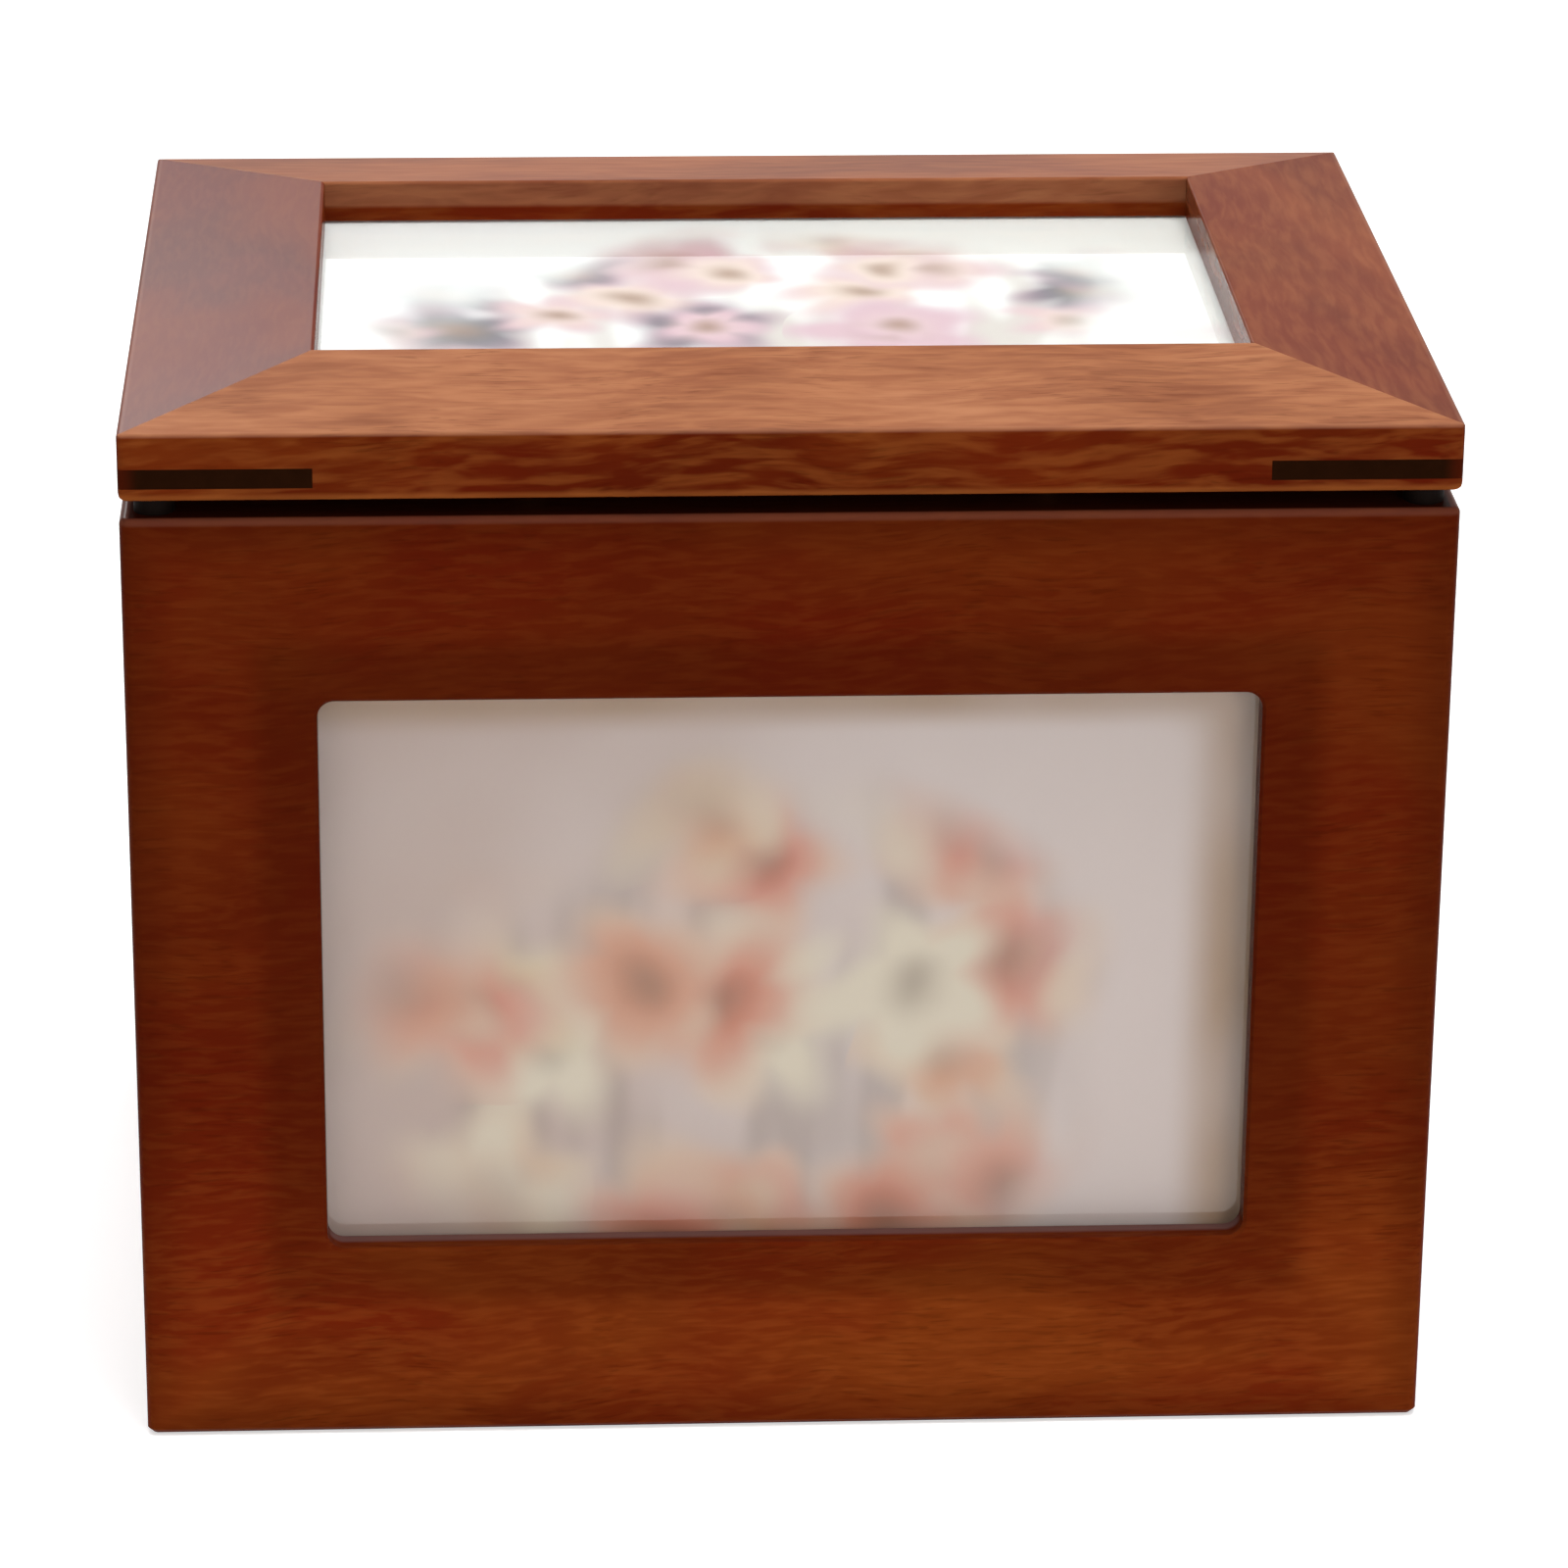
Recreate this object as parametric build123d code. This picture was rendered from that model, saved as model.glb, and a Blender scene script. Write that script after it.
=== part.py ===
from build123d import *

import math
import os

# Wooden keepsake box for 4 x 6 in prints, with a picture frame in its front and another in its lid.
# Millimetres. X to the right, Y to the back, Z up. The origin lies on the table, under the middle of
# the case. The case is four mitred boards on a let-in bottom. The lid is a mitred, bevelled moulding
# with keyed corners, and swings on two stop hinges behind the case.

# ---- Driving sizes --------------------------------------------------------------------------------

# Print and the frames around it
PRINT_WIDTH = 152.4          # standard 6 in side
PRINT_HEIGHT = 101.6         # standard 4 in side
PRINT_THICK = 0.25
SIGHT_COVER = 6.35           # how far each lip covers the print's edge
SEAT_PLAY = 0.5              # print, glass and board to the rebate, each side
GLASS_THICK = 2.0
STACK_PLAY = 0.05            # last layer below the face it lies flush with

# Case
SIDE_MARGIN = 28.15          # wood beside the front window, and the width of the lid's members
TOP_MARGIN = 28.5            # wood above the front window
LOW_MARGIN = 31.0            # wood below the front window
WALL = 10.0
CASE_CORNER_R = 1.7          # upright edges
CASE_TOP_R = 1.0             # outer top edge
CASE_FOOT_EDGE = 0.8         # chamfer of the outer bottom edge
CASE_INNER_R = 0.5           # inner top edge
WINDOW_CORNER_R = 2.6
WINDOW_EDGE = 0.5            # chamfer of the window's front edge
FRONT_BOARD_THICK = 2.4
FACING_THICK = 0.6           # felt glued to the backing boards
BOTTOM_THICK = 4.0
BOTTOM_LEDGE = 5.0           # how far the bottom reaches into the walls
BASE_FELT_THICK = 1.0
LINING_THICK = 1.0
PANEL_PLAY = 0.1             # bottom panel and felts to the walls, each side

# Lid
LID_EDGE = 10.6              # height of the lid's outer edge
LID_RISE = 3.95              # how much higher its inner edge stands
LID_FOOT_R = 2.0             # outer bottom edge
LID_TOP_R = 0.6              # outer top edge
LID_SIGHT_R = 0.5            # inner top edge
LID_CORNER_R = 0.8           # upright edges
LID_BOARD_THICK = 5.1
KEY_LEG = 28.2               # length of a corner key along each face
KEY_THICK = 3.0
KEY_LOW = 2.3                # key above the lid's underside

# Stop hinges
LEAF_THICK = 1.1
LEAF_GAP = 0.2               # between the closed leaves
LEAF_SET_BACK = 1.0          # leaf to the wall's inner face
LEAF_CORNER_R = 1.2
HINGE_LENGTH = 25.4
HINGE_INSET = 34.0           # case end to the hinge's middle, clear of the lid's turning buttons
LID_KNUCKLE = 9.8
KNUCKLE_PLAY = 0.2           # between neighbouring knuckles
PIN_R = 1.0
PIN_PLAY = 0.05
KNUCKLE_WALL = 1.05
BARREL_CLEAR = 0.15          # barrel to the edges of case and lid
NOTCH_PLAY = 0.25            # leaf to the other leaf's knuckle
PIN_HEAD_R = 1.6
PIN_HEAD_HIGH = 0.7
OPEN_ANGLE = 95.0            # where the heels meet
STOP_PLAY = 0.2              # degrees left between the heels at the open stop
HEEL_REACH = 4.3             # hinge axis to the heel's tip
LEAF_SCREW_SPREAD = 16.0     # between the two screws of a leaf

# Screws
WOOD_PLAY = 0.02             # screw to its hole in the wood
LEAF_SCREW_R = 0.9
LEAF_SCREW_HEAD_R = 1.9
LEAF_SCREW_LONG = 9.0
SINK_PLAY = 0.03             # countersunk head to the leaf
BUTTON_SCREW_R = 1.2
BUTTON_SCREW_HEAD_R = 2.4
BUTTON_SCREW_HEAD_HIGH = 1.0
BUTTON_SCREW_LONG = 7.0      # in the wood
SLOT_WIDE = 0.5
SLOT_DEEP = 0.45

# Turn buttons
BUTTON_THICK = 1.0
BUTTON_LIFT = 0.1            # under the button, and between it and the screw's head
BUTTON_ROOT_R = 4.0
BUTTON_TIP_R = 2.6
BUTTON_REACH = 10.5          # pivot to tip
BUTTON_SET = 4.5             # pivot to the rebate's edge
BUTTON_SPACING = 76.0        # between the two buttons of one edge

# Bumpers
BUMPER_R = 3.0
BUMPER_PLAY = 0.05           # bumper to the closed lid

# ---- Sizes that follow ----------------------------------------------------------------------------

SIGHT_WIDTH = PRINT_WIDTH - 2 * SIGHT_COVER
SIGHT_HEIGHT = PRINT_HEIGHT - 2 * SIGHT_COVER
REBATE_WIDTH = PRINT_WIDTH + 2 * SEAT_PLAY
REBATE_HEIGHT = PRINT_HEIGHT + 2 * SEAT_PLAY
LIP_WIDE = SIGHT_COVER + SEAT_PLAY

CASE_WIDTH = SIGHT_WIDTH + 2 * SIDE_MARGIN
CASE_DEPTH = SIGHT_HEIGHT + 2 * SIDE_MARGIN
CASE_HEIGHT = LOW_MARGIN + SIGHT_HEIGHT + TOP_MARGIN
FRONT_Y = -CASE_DEPTH / 2
BACK_Y = CASE_DEPTH / 2
ROOM_WIDTH = CASE_WIDTH - 2 * WALL
ROOM_DEPTH = CASE_DEPTH - 2 * WALL
BOTTOM_HIGH = BASE_FELT_THICK + BOTTOM_THICK
WINDOW_Z = LOW_MARGIN + SIGHT_HEIGHT / 2

FRONT_STACK = GLASS_THICK + PRINT_THICK + FRONT_BOARD_THICK + FACING_THICK + STACK_PLAY
FRONT_LIP = WALL - FRONT_STACK
LID_STACK = GLASS_THICK + PRINT_THICK + LID_BOARD_THICK + FACING_THICK + STACK_PLAY

LID_GAP = 2 * LEAF_THICK + LEAF_GAP
LID_Z = CASE_HEIGHT + LID_GAP

BARREL_R = PIN_R + PIN_PLAY + KNUCKLE_WALL
AXIS_OUT = math.sqrt((BARREL_R + BARREL_CLEAR) ** 2 - (LID_GAP / 2) ** 2)
AXIS_Y = BACK_Y + AXIS_OUT
AXIS_Z = CASE_HEIGHT + LID_GAP / 2
HINGE_X = CASE_WIDTH / 2 - HINGE_INSET
LEAF_DEPTH = WALL - LEAF_SET_BACK
HEEL_ANGLE = (OPEN_ANGLE + STOP_PLAY) / 2

CUT = 1.0                    # how far cutting shapes run past what they cut


# ---- Small helpers --------------------------------------------------------------------------------

def block(low, high):
    """Rectangular block between two opposite corners."""
    size = [b - a for a, b in zip(low, high)]
    middle = [(a + b) / 2 for a, b in zip(low, high)]
    return Pos(*middle) * Box(*size)


def slab(width, depth, low, high):
    """Block centred on the Z axis, between two heights."""
    return block((-width / 2, -depth / 2, low), (width / 2, depth / 2, high))


def upright(width, height, front, back):
    """Block centred on the front window, between two depths."""
    return block(
        (-width / 2, front, WINDOW_Z - height / 2),
        (width / 2, back, WINDOW_Z + height / 2),
    )


def outline(corner_r, low, high):
    """Plan outline of case and lid, with its upright edges rounded."""
    plan = RectangleRounded(CASE_WIDTH, CASE_DEPTH, corner_r)
    return Pos(0, 0, low) * extrude(plan, high - low)


def mitre(run, reach, width):
    """Space between the mitres of the front member: run is its outer length, reach how far out."""
    plan = Polygon(
        (-run / 2, -reach),
        (run / 2, -reach),
        (run / 2 - width, -reach + width),
        (-run / 2 + width, -reach + width),
        align=None,
    )
    return extrude(plan, LID_Z + LID_EDGE + LID_RISE + CUT)


def round_the_plan():
    """Outer length, reach and turn of the front, right, back and left members of case and lid."""
    sides = ((CASE_WIDTH, CASE_DEPTH), (CASE_DEPTH, CASE_WIDTH))
    return [(sides[i % 2][0], sides[i % 2][1] / 2, Rot(0, 0, 90 * i)) for i in range(4)]


def drill(radius, depth, place):
    """Cutting cylinder into the wood, from a place given as a location whose Z points out of it."""
    return place * Pos(0, 0, -depth / 2) * Cylinder(radius, depth)


# ---- Case -----------------------------------------------------------------------------------------

def front_button_places():
    """Pivots of the front frame's buttons on the panel's inner face, tips pointing to the board."""
    rise = REBATE_HEIGHT / 2 + BUTTON_SET
    places = {}
    for level, side_z in (("top", 1), ("low", -1)):
        for hand, side_x in (("left", -1), ("right", 1)):
            pivot = Pos(side_x * BUTTON_SPACING / 2, FRONT_Y + WALL, WINDOW_Z + side_z * rise)
            places[f"{level}_{hand}"] = pivot * Rot(-90, 0, 0) * Rot(0, 0, 90 * side_z)
    return places


def bumper_places():
    """Middles of the front corners of the rim."""
    return [
        Pos(side * (CASE_WIDTH - WALL) / 2, -(CASE_DEPTH - WALL) / 2, CASE_HEIGHT)
        for side in (-1, 1)
    ]


def case_ring():
    """The walls glued up, with the bottom's rebate along their inner foot."""
    walls = outline(CASE_CORNER_R, 0, CASE_HEIGHT)
    walls = fillet(walls.faces().sort_by(Axis.Z)[-1].edges(), CASE_TOP_R)
    walls = chamfer(walls.faces().sort_by(Axis.Z)[0].edges(), CASE_FOOT_EDGE)
    walls -= slab(ROOM_WIDTH, ROOM_DEPTH, -CUT, CASE_HEIGHT + CUT)
    walls -= slab(ROOM_WIDTH + 2 * BOTTOM_LEDGE, ROOM_DEPTH + 2 * BOTTOM_LEDGE, -CUT, BOTTOM_HIGH)
    rim = walls.faces().sort_by(Axis.Z)[-1]
    return fillet(rim.inner_wires().edges(), CASE_INNER_R)


def cut_window(panel):
    """Picture window through the front board, eased in front and rebated behind."""
    mouth = RectangleRounded(SIGHT_WIDTH, SIGHT_HEIGHT, WINDOW_CORNER_R)
    through = extrude(Plane.XZ * mouth, WALL + 2 * CUT)
    panel -= Pos(0, FRONT_Y + WALL + CUT, WINDOW_Z) * through
    inner = FRONT_Y + FRONT_LIP
    panel -= upright(REBATE_WIDTH, REBATE_HEIGHT, inner, FRONT_Y + WALL + CUT)
    face = panel.faces().sort_by(Axis.Y)[0]
    return chamfer(face.inner_wires().edges(), WINDOW_EDGE)


def case_walls():
    """Front, right, back and left boards of the case."""
    walls = case_ring()
    front, right, back, left = [
        walls & (turn * mitre(run, reach, WALL)) for run, reach, turn in round_the_plan()
    ]
    front = cut_window(front)
    for place in front_button_places().values():
        front -= drill(BUTTON_SCREW_R + WOOD_PLAY, BUTTON_SCREW_LONG + WOOD_PLAY, place)
    for place in leaf_screw_places(1):
        back -= drill(LEAF_SCREW_R + WOOD_PLAY, LEAF_SCREW_LONG + WOOD_PLAY, place)
    return {"front_panel": front, "right_side": right, "back_panel": back, "left_side": left}


def case_floor():
    """Bottom panel in its rebate, felt under it and lining on it."""
    wide = ROOM_WIDTH + 2 * (BOTTOM_LEDGE - PANEL_PLAY)
    deep = ROOM_DEPTH + 2 * (BOTTOM_LEDGE - PANEL_PLAY)
    lining_top = BOTTOM_HIGH + LINING_THICK
    return {
        "base_felt": slab(wide, deep, 0, BASE_FELT_THICK),
        "bottom_panel": slab(wide, deep, BASE_FELT_THICK, BOTTOM_HIGH),
        "floor_lining": slab(
            ROOM_WIDTH - 2 * PANEL_PLAY, ROOM_DEPTH - 2 * PANEL_PLAY, BOTTOM_HIGH, lining_top
        ),
    }


def front_frame():
    """Glass, print, board and facing behind the front window, in that order."""
    layers = {
        "front_glass": GLASS_THICK,
        "front_print": PRINT_THICK,
        "front_backing_board": FRONT_BOARD_THICK,
        "front_backing_felt": FACING_THICK,
    }
    pieces = {}
    start = FRONT_Y + FRONT_LIP
    for name, thick in layers.items():
        pieces[name] = upright(PRINT_WIDTH, PRINT_HEIGHT, start, start + thick)
        start += thick
    return pieces


def rim_bumpers():
    """Rubber dots that the closed lid comes down on."""
    high = LID_GAP - BUMPER_PLAY
    dot = Pos(0, 0, high / 2) * Cylinder(BUMPER_R, high)
    return Compound([place * dot for place in bumper_places()])


# ---- Lid ------------------------------------------------------------------------------------------

def lid_button_places():
    """Pivots of the lid's buttons on its underside, tips pointing to the board."""
    out = REBATE_HEIGHT / 2 + BUTTON_SET
    places = {}
    for row, side_y in (("front", -1), ("back", 1)):
        for hand, side_x in (("left", -1), ("right", 1)):
            pivot = Pos(side_x * BUTTON_SPACING / 2, side_y * out, LID_Z)
            places[f"{row}_{hand}"] = pivot * Rot(180, 0, 0) * Rot(0, 0, 90 * side_y)
    return places


def lid_section():
    """Moulding of the lid, drawn in from its outer face and up from its underside: bevelled on top,
    rebated below for glass, print and board."""
    inner = SIDE_MARGIN - LIP_WIDE
    points = [
        (0, 0),
        (0, LID_EDGE),
        (SIDE_MARGIN, LID_EDGE + LID_RISE),
        (SIDE_MARGIN, LID_STACK),
        (inner, LID_STACK),
        (inner, 0),
    ]
    radii = [LID_FOOT_R, LID_TOP_R, LID_SIGHT_R, 0, 0, 0]
    return make_face(FilletPolyline(*points, radius=radii, close=True))


def lid_member(run, reach):
    """The front member of the lid's frame, as long as run, cut from the moulding."""
    bar = extrude(Plane.YZ * lid_section(), run / 2, both=True)
    return mitre(run, reach, SIDE_MARGIN) & (Pos(0, -reach, LID_Z) * bar)


def key_wedges():
    """Triangular slots across the lid's corners, one for each key."""
    wedges = {}
    for row, side_y in (("front", -1), ("back", 1)):
        for hand, side_x in (("left", -1), ("right", 1)):
            tip_x = side_x * CASE_WIDTH / 2
            tip_y = side_y * CASE_DEPTH / 2
            plan = Polygon(
                (tip_x, tip_y),
                (tip_x - side_x * KEY_LEG, tip_y),
                (tip_x, tip_y - side_y * KEY_LEG),
                align=None,
            )
            wedge = extrude(plan, KEY_THICK, dir=(0, 0, 1))
            wedges[f"{row}_{hand}"] = Pos(0, 0, LID_Z + KEY_LOW) * wedge
    return wedges


def lid_frame():
    """Rails, stiles and corner keys of the lid."""
    shell = outline(LID_CORNER_R, LID_Z, LID_Z + LID_EDGE + LID_RISE)
    wedges = key_wedges()
    names = ("lid_front_rail", "lid_right_stile", "lid_back_rail", "lid_left_stile")
    pieces = {}
    for name, (run, reach, turn) in zip(names, round_the_plan()):
        bar = (turn * lid_member(run, reach)) & shell
        for wedge in wedges.values():
            bar -= wedge
        pieces[name] = bar
    for place in lid_button_places().values():
        hole = drill(BUTTON_SCREW_R + WOOD_PLAY, BUTTON_SCREW_LONG + WOOD_PLAY, place)
        rail = "lid_front_rail" if place.position.Y < 0 else "lid_back_rail"
        pieces[rail] -= hole
    for place in leaf_screw_places(-1):
        pieces["lid_back_rail"] -= drill(LEAF_SCREW_R + WOOD_PLAY, LEAF_SCREW_LONG + WOOD_PLAY, place)
    for corner, wedge in wedges.items():
        pieces[f"lid_key_{corner}"] = wedge & shell
    return pieces


def lid_fill():
    """Glass, print, board and facing under the lid's opening, from the top down."""
    layers = {
        "lid_glass": GLASS_THICK,
        "lid_print": PRINT_THICK,
        "lid_backing_board": LID_BOARD_THICK,
        "lid_backing_felt": FACING_THICK,
    }
    pieces = {}
    top = LID_Z + LID_STACK
    for name, thick in layers.items():
        pieces[name] = slab(PRINT_WIDTH, PRINT_HEIGHT, top - thick, top)
        top -= thick
    return pieces


# ---- Turn buttons ---------------------------------------------------------------------------------

def turn_button():
    """Stamped brass button on its pivot, lying on Z = 0 with its tip along +X."""
    neck = BUTTON_REACH - BUTTON_TIP_R
    root = Circle(BUTTON_ROOT_R)
    tip = Pos(neck, 0) * Circle(BUTTON_TIP_R)
    lean = math.asin((BUTTON_ROOT_R - BUTTON_TIP_R) / neck)
    across = [math.sin(lean), math.cos(lean)]
    web = Polygon(
        (BUTTON_ROOT_R * across[0], -BUTTON_ROOT_R * across[1]),
        (neck + BUTTON_TIP_R * across[0], -BUTTON_TIP_R * across[1]),
        (neck + BUTTON_TIP_R * across[0], BUTTON_TIP_R * across[1]),
        (BUTTON_ROOT_R * across[0], BUTTON_ROOT_R * across[1]),
        align=None,
    )
    plate = extrude(root + tip + web, BUTTON_THICK)
    plate -= Cylinder(BUTTON_SCREW_R + PIN_PLAY, 3 * BUTTON_THICK)
    return Pos(0, 0, BUTTON_LIFT) * plate


def slotted(head, top, radius):
    """A screw head with a straight driver slot across its top."""
    return head - Pos(0, 0, top) * Box(2 * radius + CUT, SLOT_WIDE, 2 * SLOT_DEEP)


def button_screw():
    """Cheese-headed screw that a button turns on. Its shank goes down into the wood."""
    seat = BUTTON_THICK + 2 * BUTTON_LIFT
    top = seat + BUTTON_SCREW_HEAD_HIGH
    head = Pos(0, 0, (seat + top) / 2) * Cylinder(BUTTON_SCREW_HEAD_R, BUTTON_SCREW_HEAD_HIGH)
    long = BUTTON_SCREW_LONG + seat
    shank = Pos(0, 0, seat - long / 2) * Cylinder(BUTTON_SCREW_R, long)
    return slotted(head + shank, top, BUTTON_SCREW_HEAD_R)


def set_of(shape, places):
    """Copies of one solid at several places, kept as separate solids."""
    return Compound([place * shape for place in places])


# ---- Stop hinges ----------------------------------------------------------------------------------

def leaf_screw_places(facing):
    """Screw heads of the case leaves (facing 1, up) or of the lid leaves (facing -1, down)."""
    level = CASE_HEIGHT if facing > 0 else LID_Z
    tilt = Rot(0, 0, 0) if facing > 0 else Rot(180, 0, 0)
    return [
        Pos(side * HINGE_X + step * LEAF_SCREW_SPREAD / 2, BACK_Y - LEAF_DEPTH / 2, level) * tilt
        for side in (-1, 1)
        for step in (-1, 1)
    ]


def sunk_head(swell):
    """Countersunk cone as deep as the leaf, its flat top level with the leaf's face."""
    cone = Cone(LEAF_SCREW_R + swell, LEAF_SCREW_HEAD_R + swell, LEAF_THICK)
    return Pos(0, 0, LEAF_THICK / 2) * cone


def leaf_screw():
    """Countersunk screw standing on the wood's face at Z = 0, its head within the leaf."""
    long = LEAF_SCREW_LONG + LEAF_THICK / 2
    shank = Pos(0, 0, LEAF_THICK / 2 - long / 2) * Cylinder(LEAF_SCREW_R, long)
    return slotted(sunk_head(0) + shank, LEAF_THICK, LEAF_SCREW_HEAD_R)


def tube_x(radius, start, end):
    """Cylinder along X between two stations."""
    return Pos((start + end) / 2, 0, 0) * Rot(0, 90, 0) * Cylinder(radius, end - start)


def hinge_spans():
    """Stations of the lid's middle knuckle and of the case's two outer ones."""
    middle = [(-LID_KNUCKLE / 2, LID_KNUCKLE / 2)]
    inner = LID_KNUCKLE / 2 + KNUCKLE_PLAY
    outer = [(-HINGE_LENGTH / 2, -inner), (inner, HINGE_LENGTH / 2)]
    return {"lid": middle, "case": outer}


def heel(start, end, root_r, facing):
    """Radial stop bar along X. Its flat faces the other leaf's heel across the open angle."""
    bar = block((start, root_r, 0), (end, HEEL_REACH, LEAF_THICK))
    bar = Rot(HEEL_ANGLE, 0, 0) * bar
    return bar if facing < 0 else mirror(bar, Plane.XY)


def hinge_leaf(owner):
    """One leaf about the pin at the origin: plate, knuckles and heel. Case leaves lie below it."""
    facing = 1 if owner == "case" else -1
    other = "lid" if owner == "case" else "case"
    spans = hinge_spans()
    plate_low = LEAF_GAP / 2
    half = HINGE_LENGTH / 2
    front = -(AXIS_OUT + LEAF_DEPTH)
    plate = block((-half, front, plate_low), (half, 0, plate_low + LEAF_THICK))
    corners = plate.edges().filter_by(Axis.Z).group_by(Axis.Y)[0]
    plate = fillet(corners, LEAF_CORNER_R)
    for start, end in spans[other]:
        plate -= block(
            (start - KNUCKLE_PLAY, -(BARREL_R + NOTCH_PLAY), -CUT),
            (end + KNUCKLE_PLAY, CUT, plate_low + LEAF_THICK + CUT),
        )
    if facing > 0:
        plate = mirror(plate, Plane.XY)
    leaf = plate
    for start, end in spans[owner]:
        leaf += tube_x(BARREL_R, start, end)
        leaf += heel(start, end, PIN_R + PIN_PLAY + KNUCKLE_WALL / 2, facing)
    leaf += heel(-half, half, BARREL_R + KNUCKLE_PLAY, facing)
    leaf -= tube_x(PIN_R + PIN_PLAY, -half - CUT, half + CUT)
    return leaf


def hinge_pin():
    """Pin with a low head at each end."""
    end = HINGE_LENGTH / 2 + PIN_PLAY
    pin = tube_x(PIN_R, -end, end)
    for start in (-end - PIN_HEAD_HIGH, end):
        pin += tube_x(PIN_HEAD_R, start, start + PIN_HEAD_HIGH)
    return pin


def hinges():
    """Both hinges, each as a case leaf, a lid leaf and a pin, with the leaves drilled for screws."""
    pieces = {}
    for hand, side in (("left", -1), ("right", 1)):
        seat = Pos(side * HINGE_X, AXIS_Y, AXIS_Z)
        for owner, facing in (("case", 1), ("lid", -1)):
            leaf = seat * hinge_leaf(owner)
            for place in leaf_screw_places(facing):
                if place.position.X * side > 0:
                    leaf -= place * sunk_head(SINK_PLAY)
            pieces[f"{hand}_hinge_{owner}_leaf"] = leaf
        pieces[f"{hand}_hinge_pin"] = seat * hinge_pin()
    return pieces


# ---- Whole box ------------------------------------------------------------------------------------

def all_pieces():
    """Every piece of the box by its name."""
    pieces = {}
    pieces.update(case_walls())
    pieces.update(case_floor())
    pieces.update(front_frame())
    pieces["rim_bumpers"] = rim_bumpers()
    pieces.update(lid_frame())
    pieces.update(lid_fill())
    for frame, places in (("front", front_button_places()), ("lid", lid_button_places())):
        for spot, place in places.items():
            pieces[f"{frame}_button_{spot}"] = place * turn_button()
        pieces[f"{frame}_button_screws"] = set_of(button_screw(), places.values())
    pieces.update(hinges())
    pieces["case_hinge_screws"] = set_of(leaf_screw(), leaf_screw_places(1))
    pieces["lid_hinge_screws"] = set_of(leaf_screw(), leaf_screw_places(-1))
    return pieces


os.makedirs("parts", exist_ok=True)
for node, shape in all_pieces().items():
    export_step(shape, f"parts/{node}.step")
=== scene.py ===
"""Finishes for a wooden photo storage box: a case with a framed print in its front and a hinged,
bevelled lid with another. Each finish is named for what the real one is made of."""

import math
from typing import NamedTuple

import bmesh
import bpy
from bpy.props import FloatProperty, FloatVectorProperty, PointerProperty
from mathutils import Matrix, Vector, noise


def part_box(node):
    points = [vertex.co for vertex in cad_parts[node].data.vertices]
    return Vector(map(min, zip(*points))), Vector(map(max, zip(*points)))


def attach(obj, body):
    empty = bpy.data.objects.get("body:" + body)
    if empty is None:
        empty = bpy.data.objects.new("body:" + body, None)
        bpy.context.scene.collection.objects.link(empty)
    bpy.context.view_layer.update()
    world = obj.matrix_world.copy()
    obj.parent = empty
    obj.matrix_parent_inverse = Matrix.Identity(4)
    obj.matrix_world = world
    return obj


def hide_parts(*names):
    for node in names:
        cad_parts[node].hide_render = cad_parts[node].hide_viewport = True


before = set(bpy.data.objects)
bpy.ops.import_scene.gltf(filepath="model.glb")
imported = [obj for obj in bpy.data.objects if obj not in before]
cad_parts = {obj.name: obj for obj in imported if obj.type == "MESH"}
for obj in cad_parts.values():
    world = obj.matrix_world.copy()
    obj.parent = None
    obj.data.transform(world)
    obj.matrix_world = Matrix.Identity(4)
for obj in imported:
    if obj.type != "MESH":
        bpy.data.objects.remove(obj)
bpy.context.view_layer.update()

bl_info = {
    "name": "Photo storage box",
    "version": (1, 0, 0),
    "blender": (4, 5, 0),
    "location": "3D View > Sidebar > Photo box",
    "description": "Finishes a packed wooden photo storage box and lights it in a plain studio",
    "category": "Object",
}

MM = 1000.0                   # millimetres in a metre: patterns are laid out in millimetres
HALF_TURN = math.pi
QUARTER_TURN = math.pi / 2

PRINT_SIZE = (152.4, 101.6)   # mm, both prints
SIGHT_COVER = 6.35            # mm that a window's lip covers of its print, all round


# ---- Colours and nodes ----------------------------------------------------------------------------

def linear(code):
    """Linear colour with alpha 1 from an sRGB hex code such as #7A2E10."""
    steps = [int(code[i:i + 2], 16) / 255 for i in (1, 3, 5)]
    return tuple(c / 12.92 if c <= 0.04045 else ((c + 0.055) / 1.055) ** 2.4 for c in steps) + (1.0,)


def add(tree, kind, sockets=None, stops=None, **settings):
    """Adds a node with its settings, the values or links of its sockets, and a ramp's stops."""
    made = tree.nodes.new(kind)
    for key, value in settings.items():
        setattr(made, key, value)
    for key, value in (sockets or {}).items():
        if isinstance(value, bpy.types.Node):
            value = value.outputs[0]
        if isinstance(value, bpy.types.NodeSocket):
            tree.links.new(value, made.inputs[key])
        else:
            made.inputs[key].default_value = value
    if stops:
        ramp = made.color_ramp.elements
        while len(ramp) < len(stops):
            ramp.new(1.0)
        for stop, (place, colour) in zip(ramp, stops):
            stop.position = place
            stop.color = colour
    return made


def new_material(name):
    """An empty material and its node tree."""
    made = bpy.data.materials.new(name)
    made.use_nodes = True
    made.node_tree.nodes.clear()
    return made, made.node_tree


def surface(tree, sockets):
    """Closes a material with its shader and output."""
    shader = add(tree, "ShaderNodeBsdfPrincipled", sockets)
    add(tree, "ShaderNodeOutputMaterial", {"Surface": shader})


def millimetres(tree):
    """A point's place in the shared frame, in millimetres."""
    place = add(tree, "ShaderNodeTexCoord")
    return add(tree, "ShaderNodeVectorMath", {0: place.outputs["Object"], "Scale": MM}, operation="SCALE")


def inward(tree, place, half):
    """How far a place lies inside each pair of faces of a box of this half size."""
    offset = add(tree, "ShaderNodeVectorMath", {0: place}, operation="ABSOLUTE")
    depth = add(tree, "ShaderNodeVectorMath", {0: half, 1: offset}, operation="SUBTRACT")
    return add(tree, "ShaderNodeSeparateXYZ", {0: depth}).outputs


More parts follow.
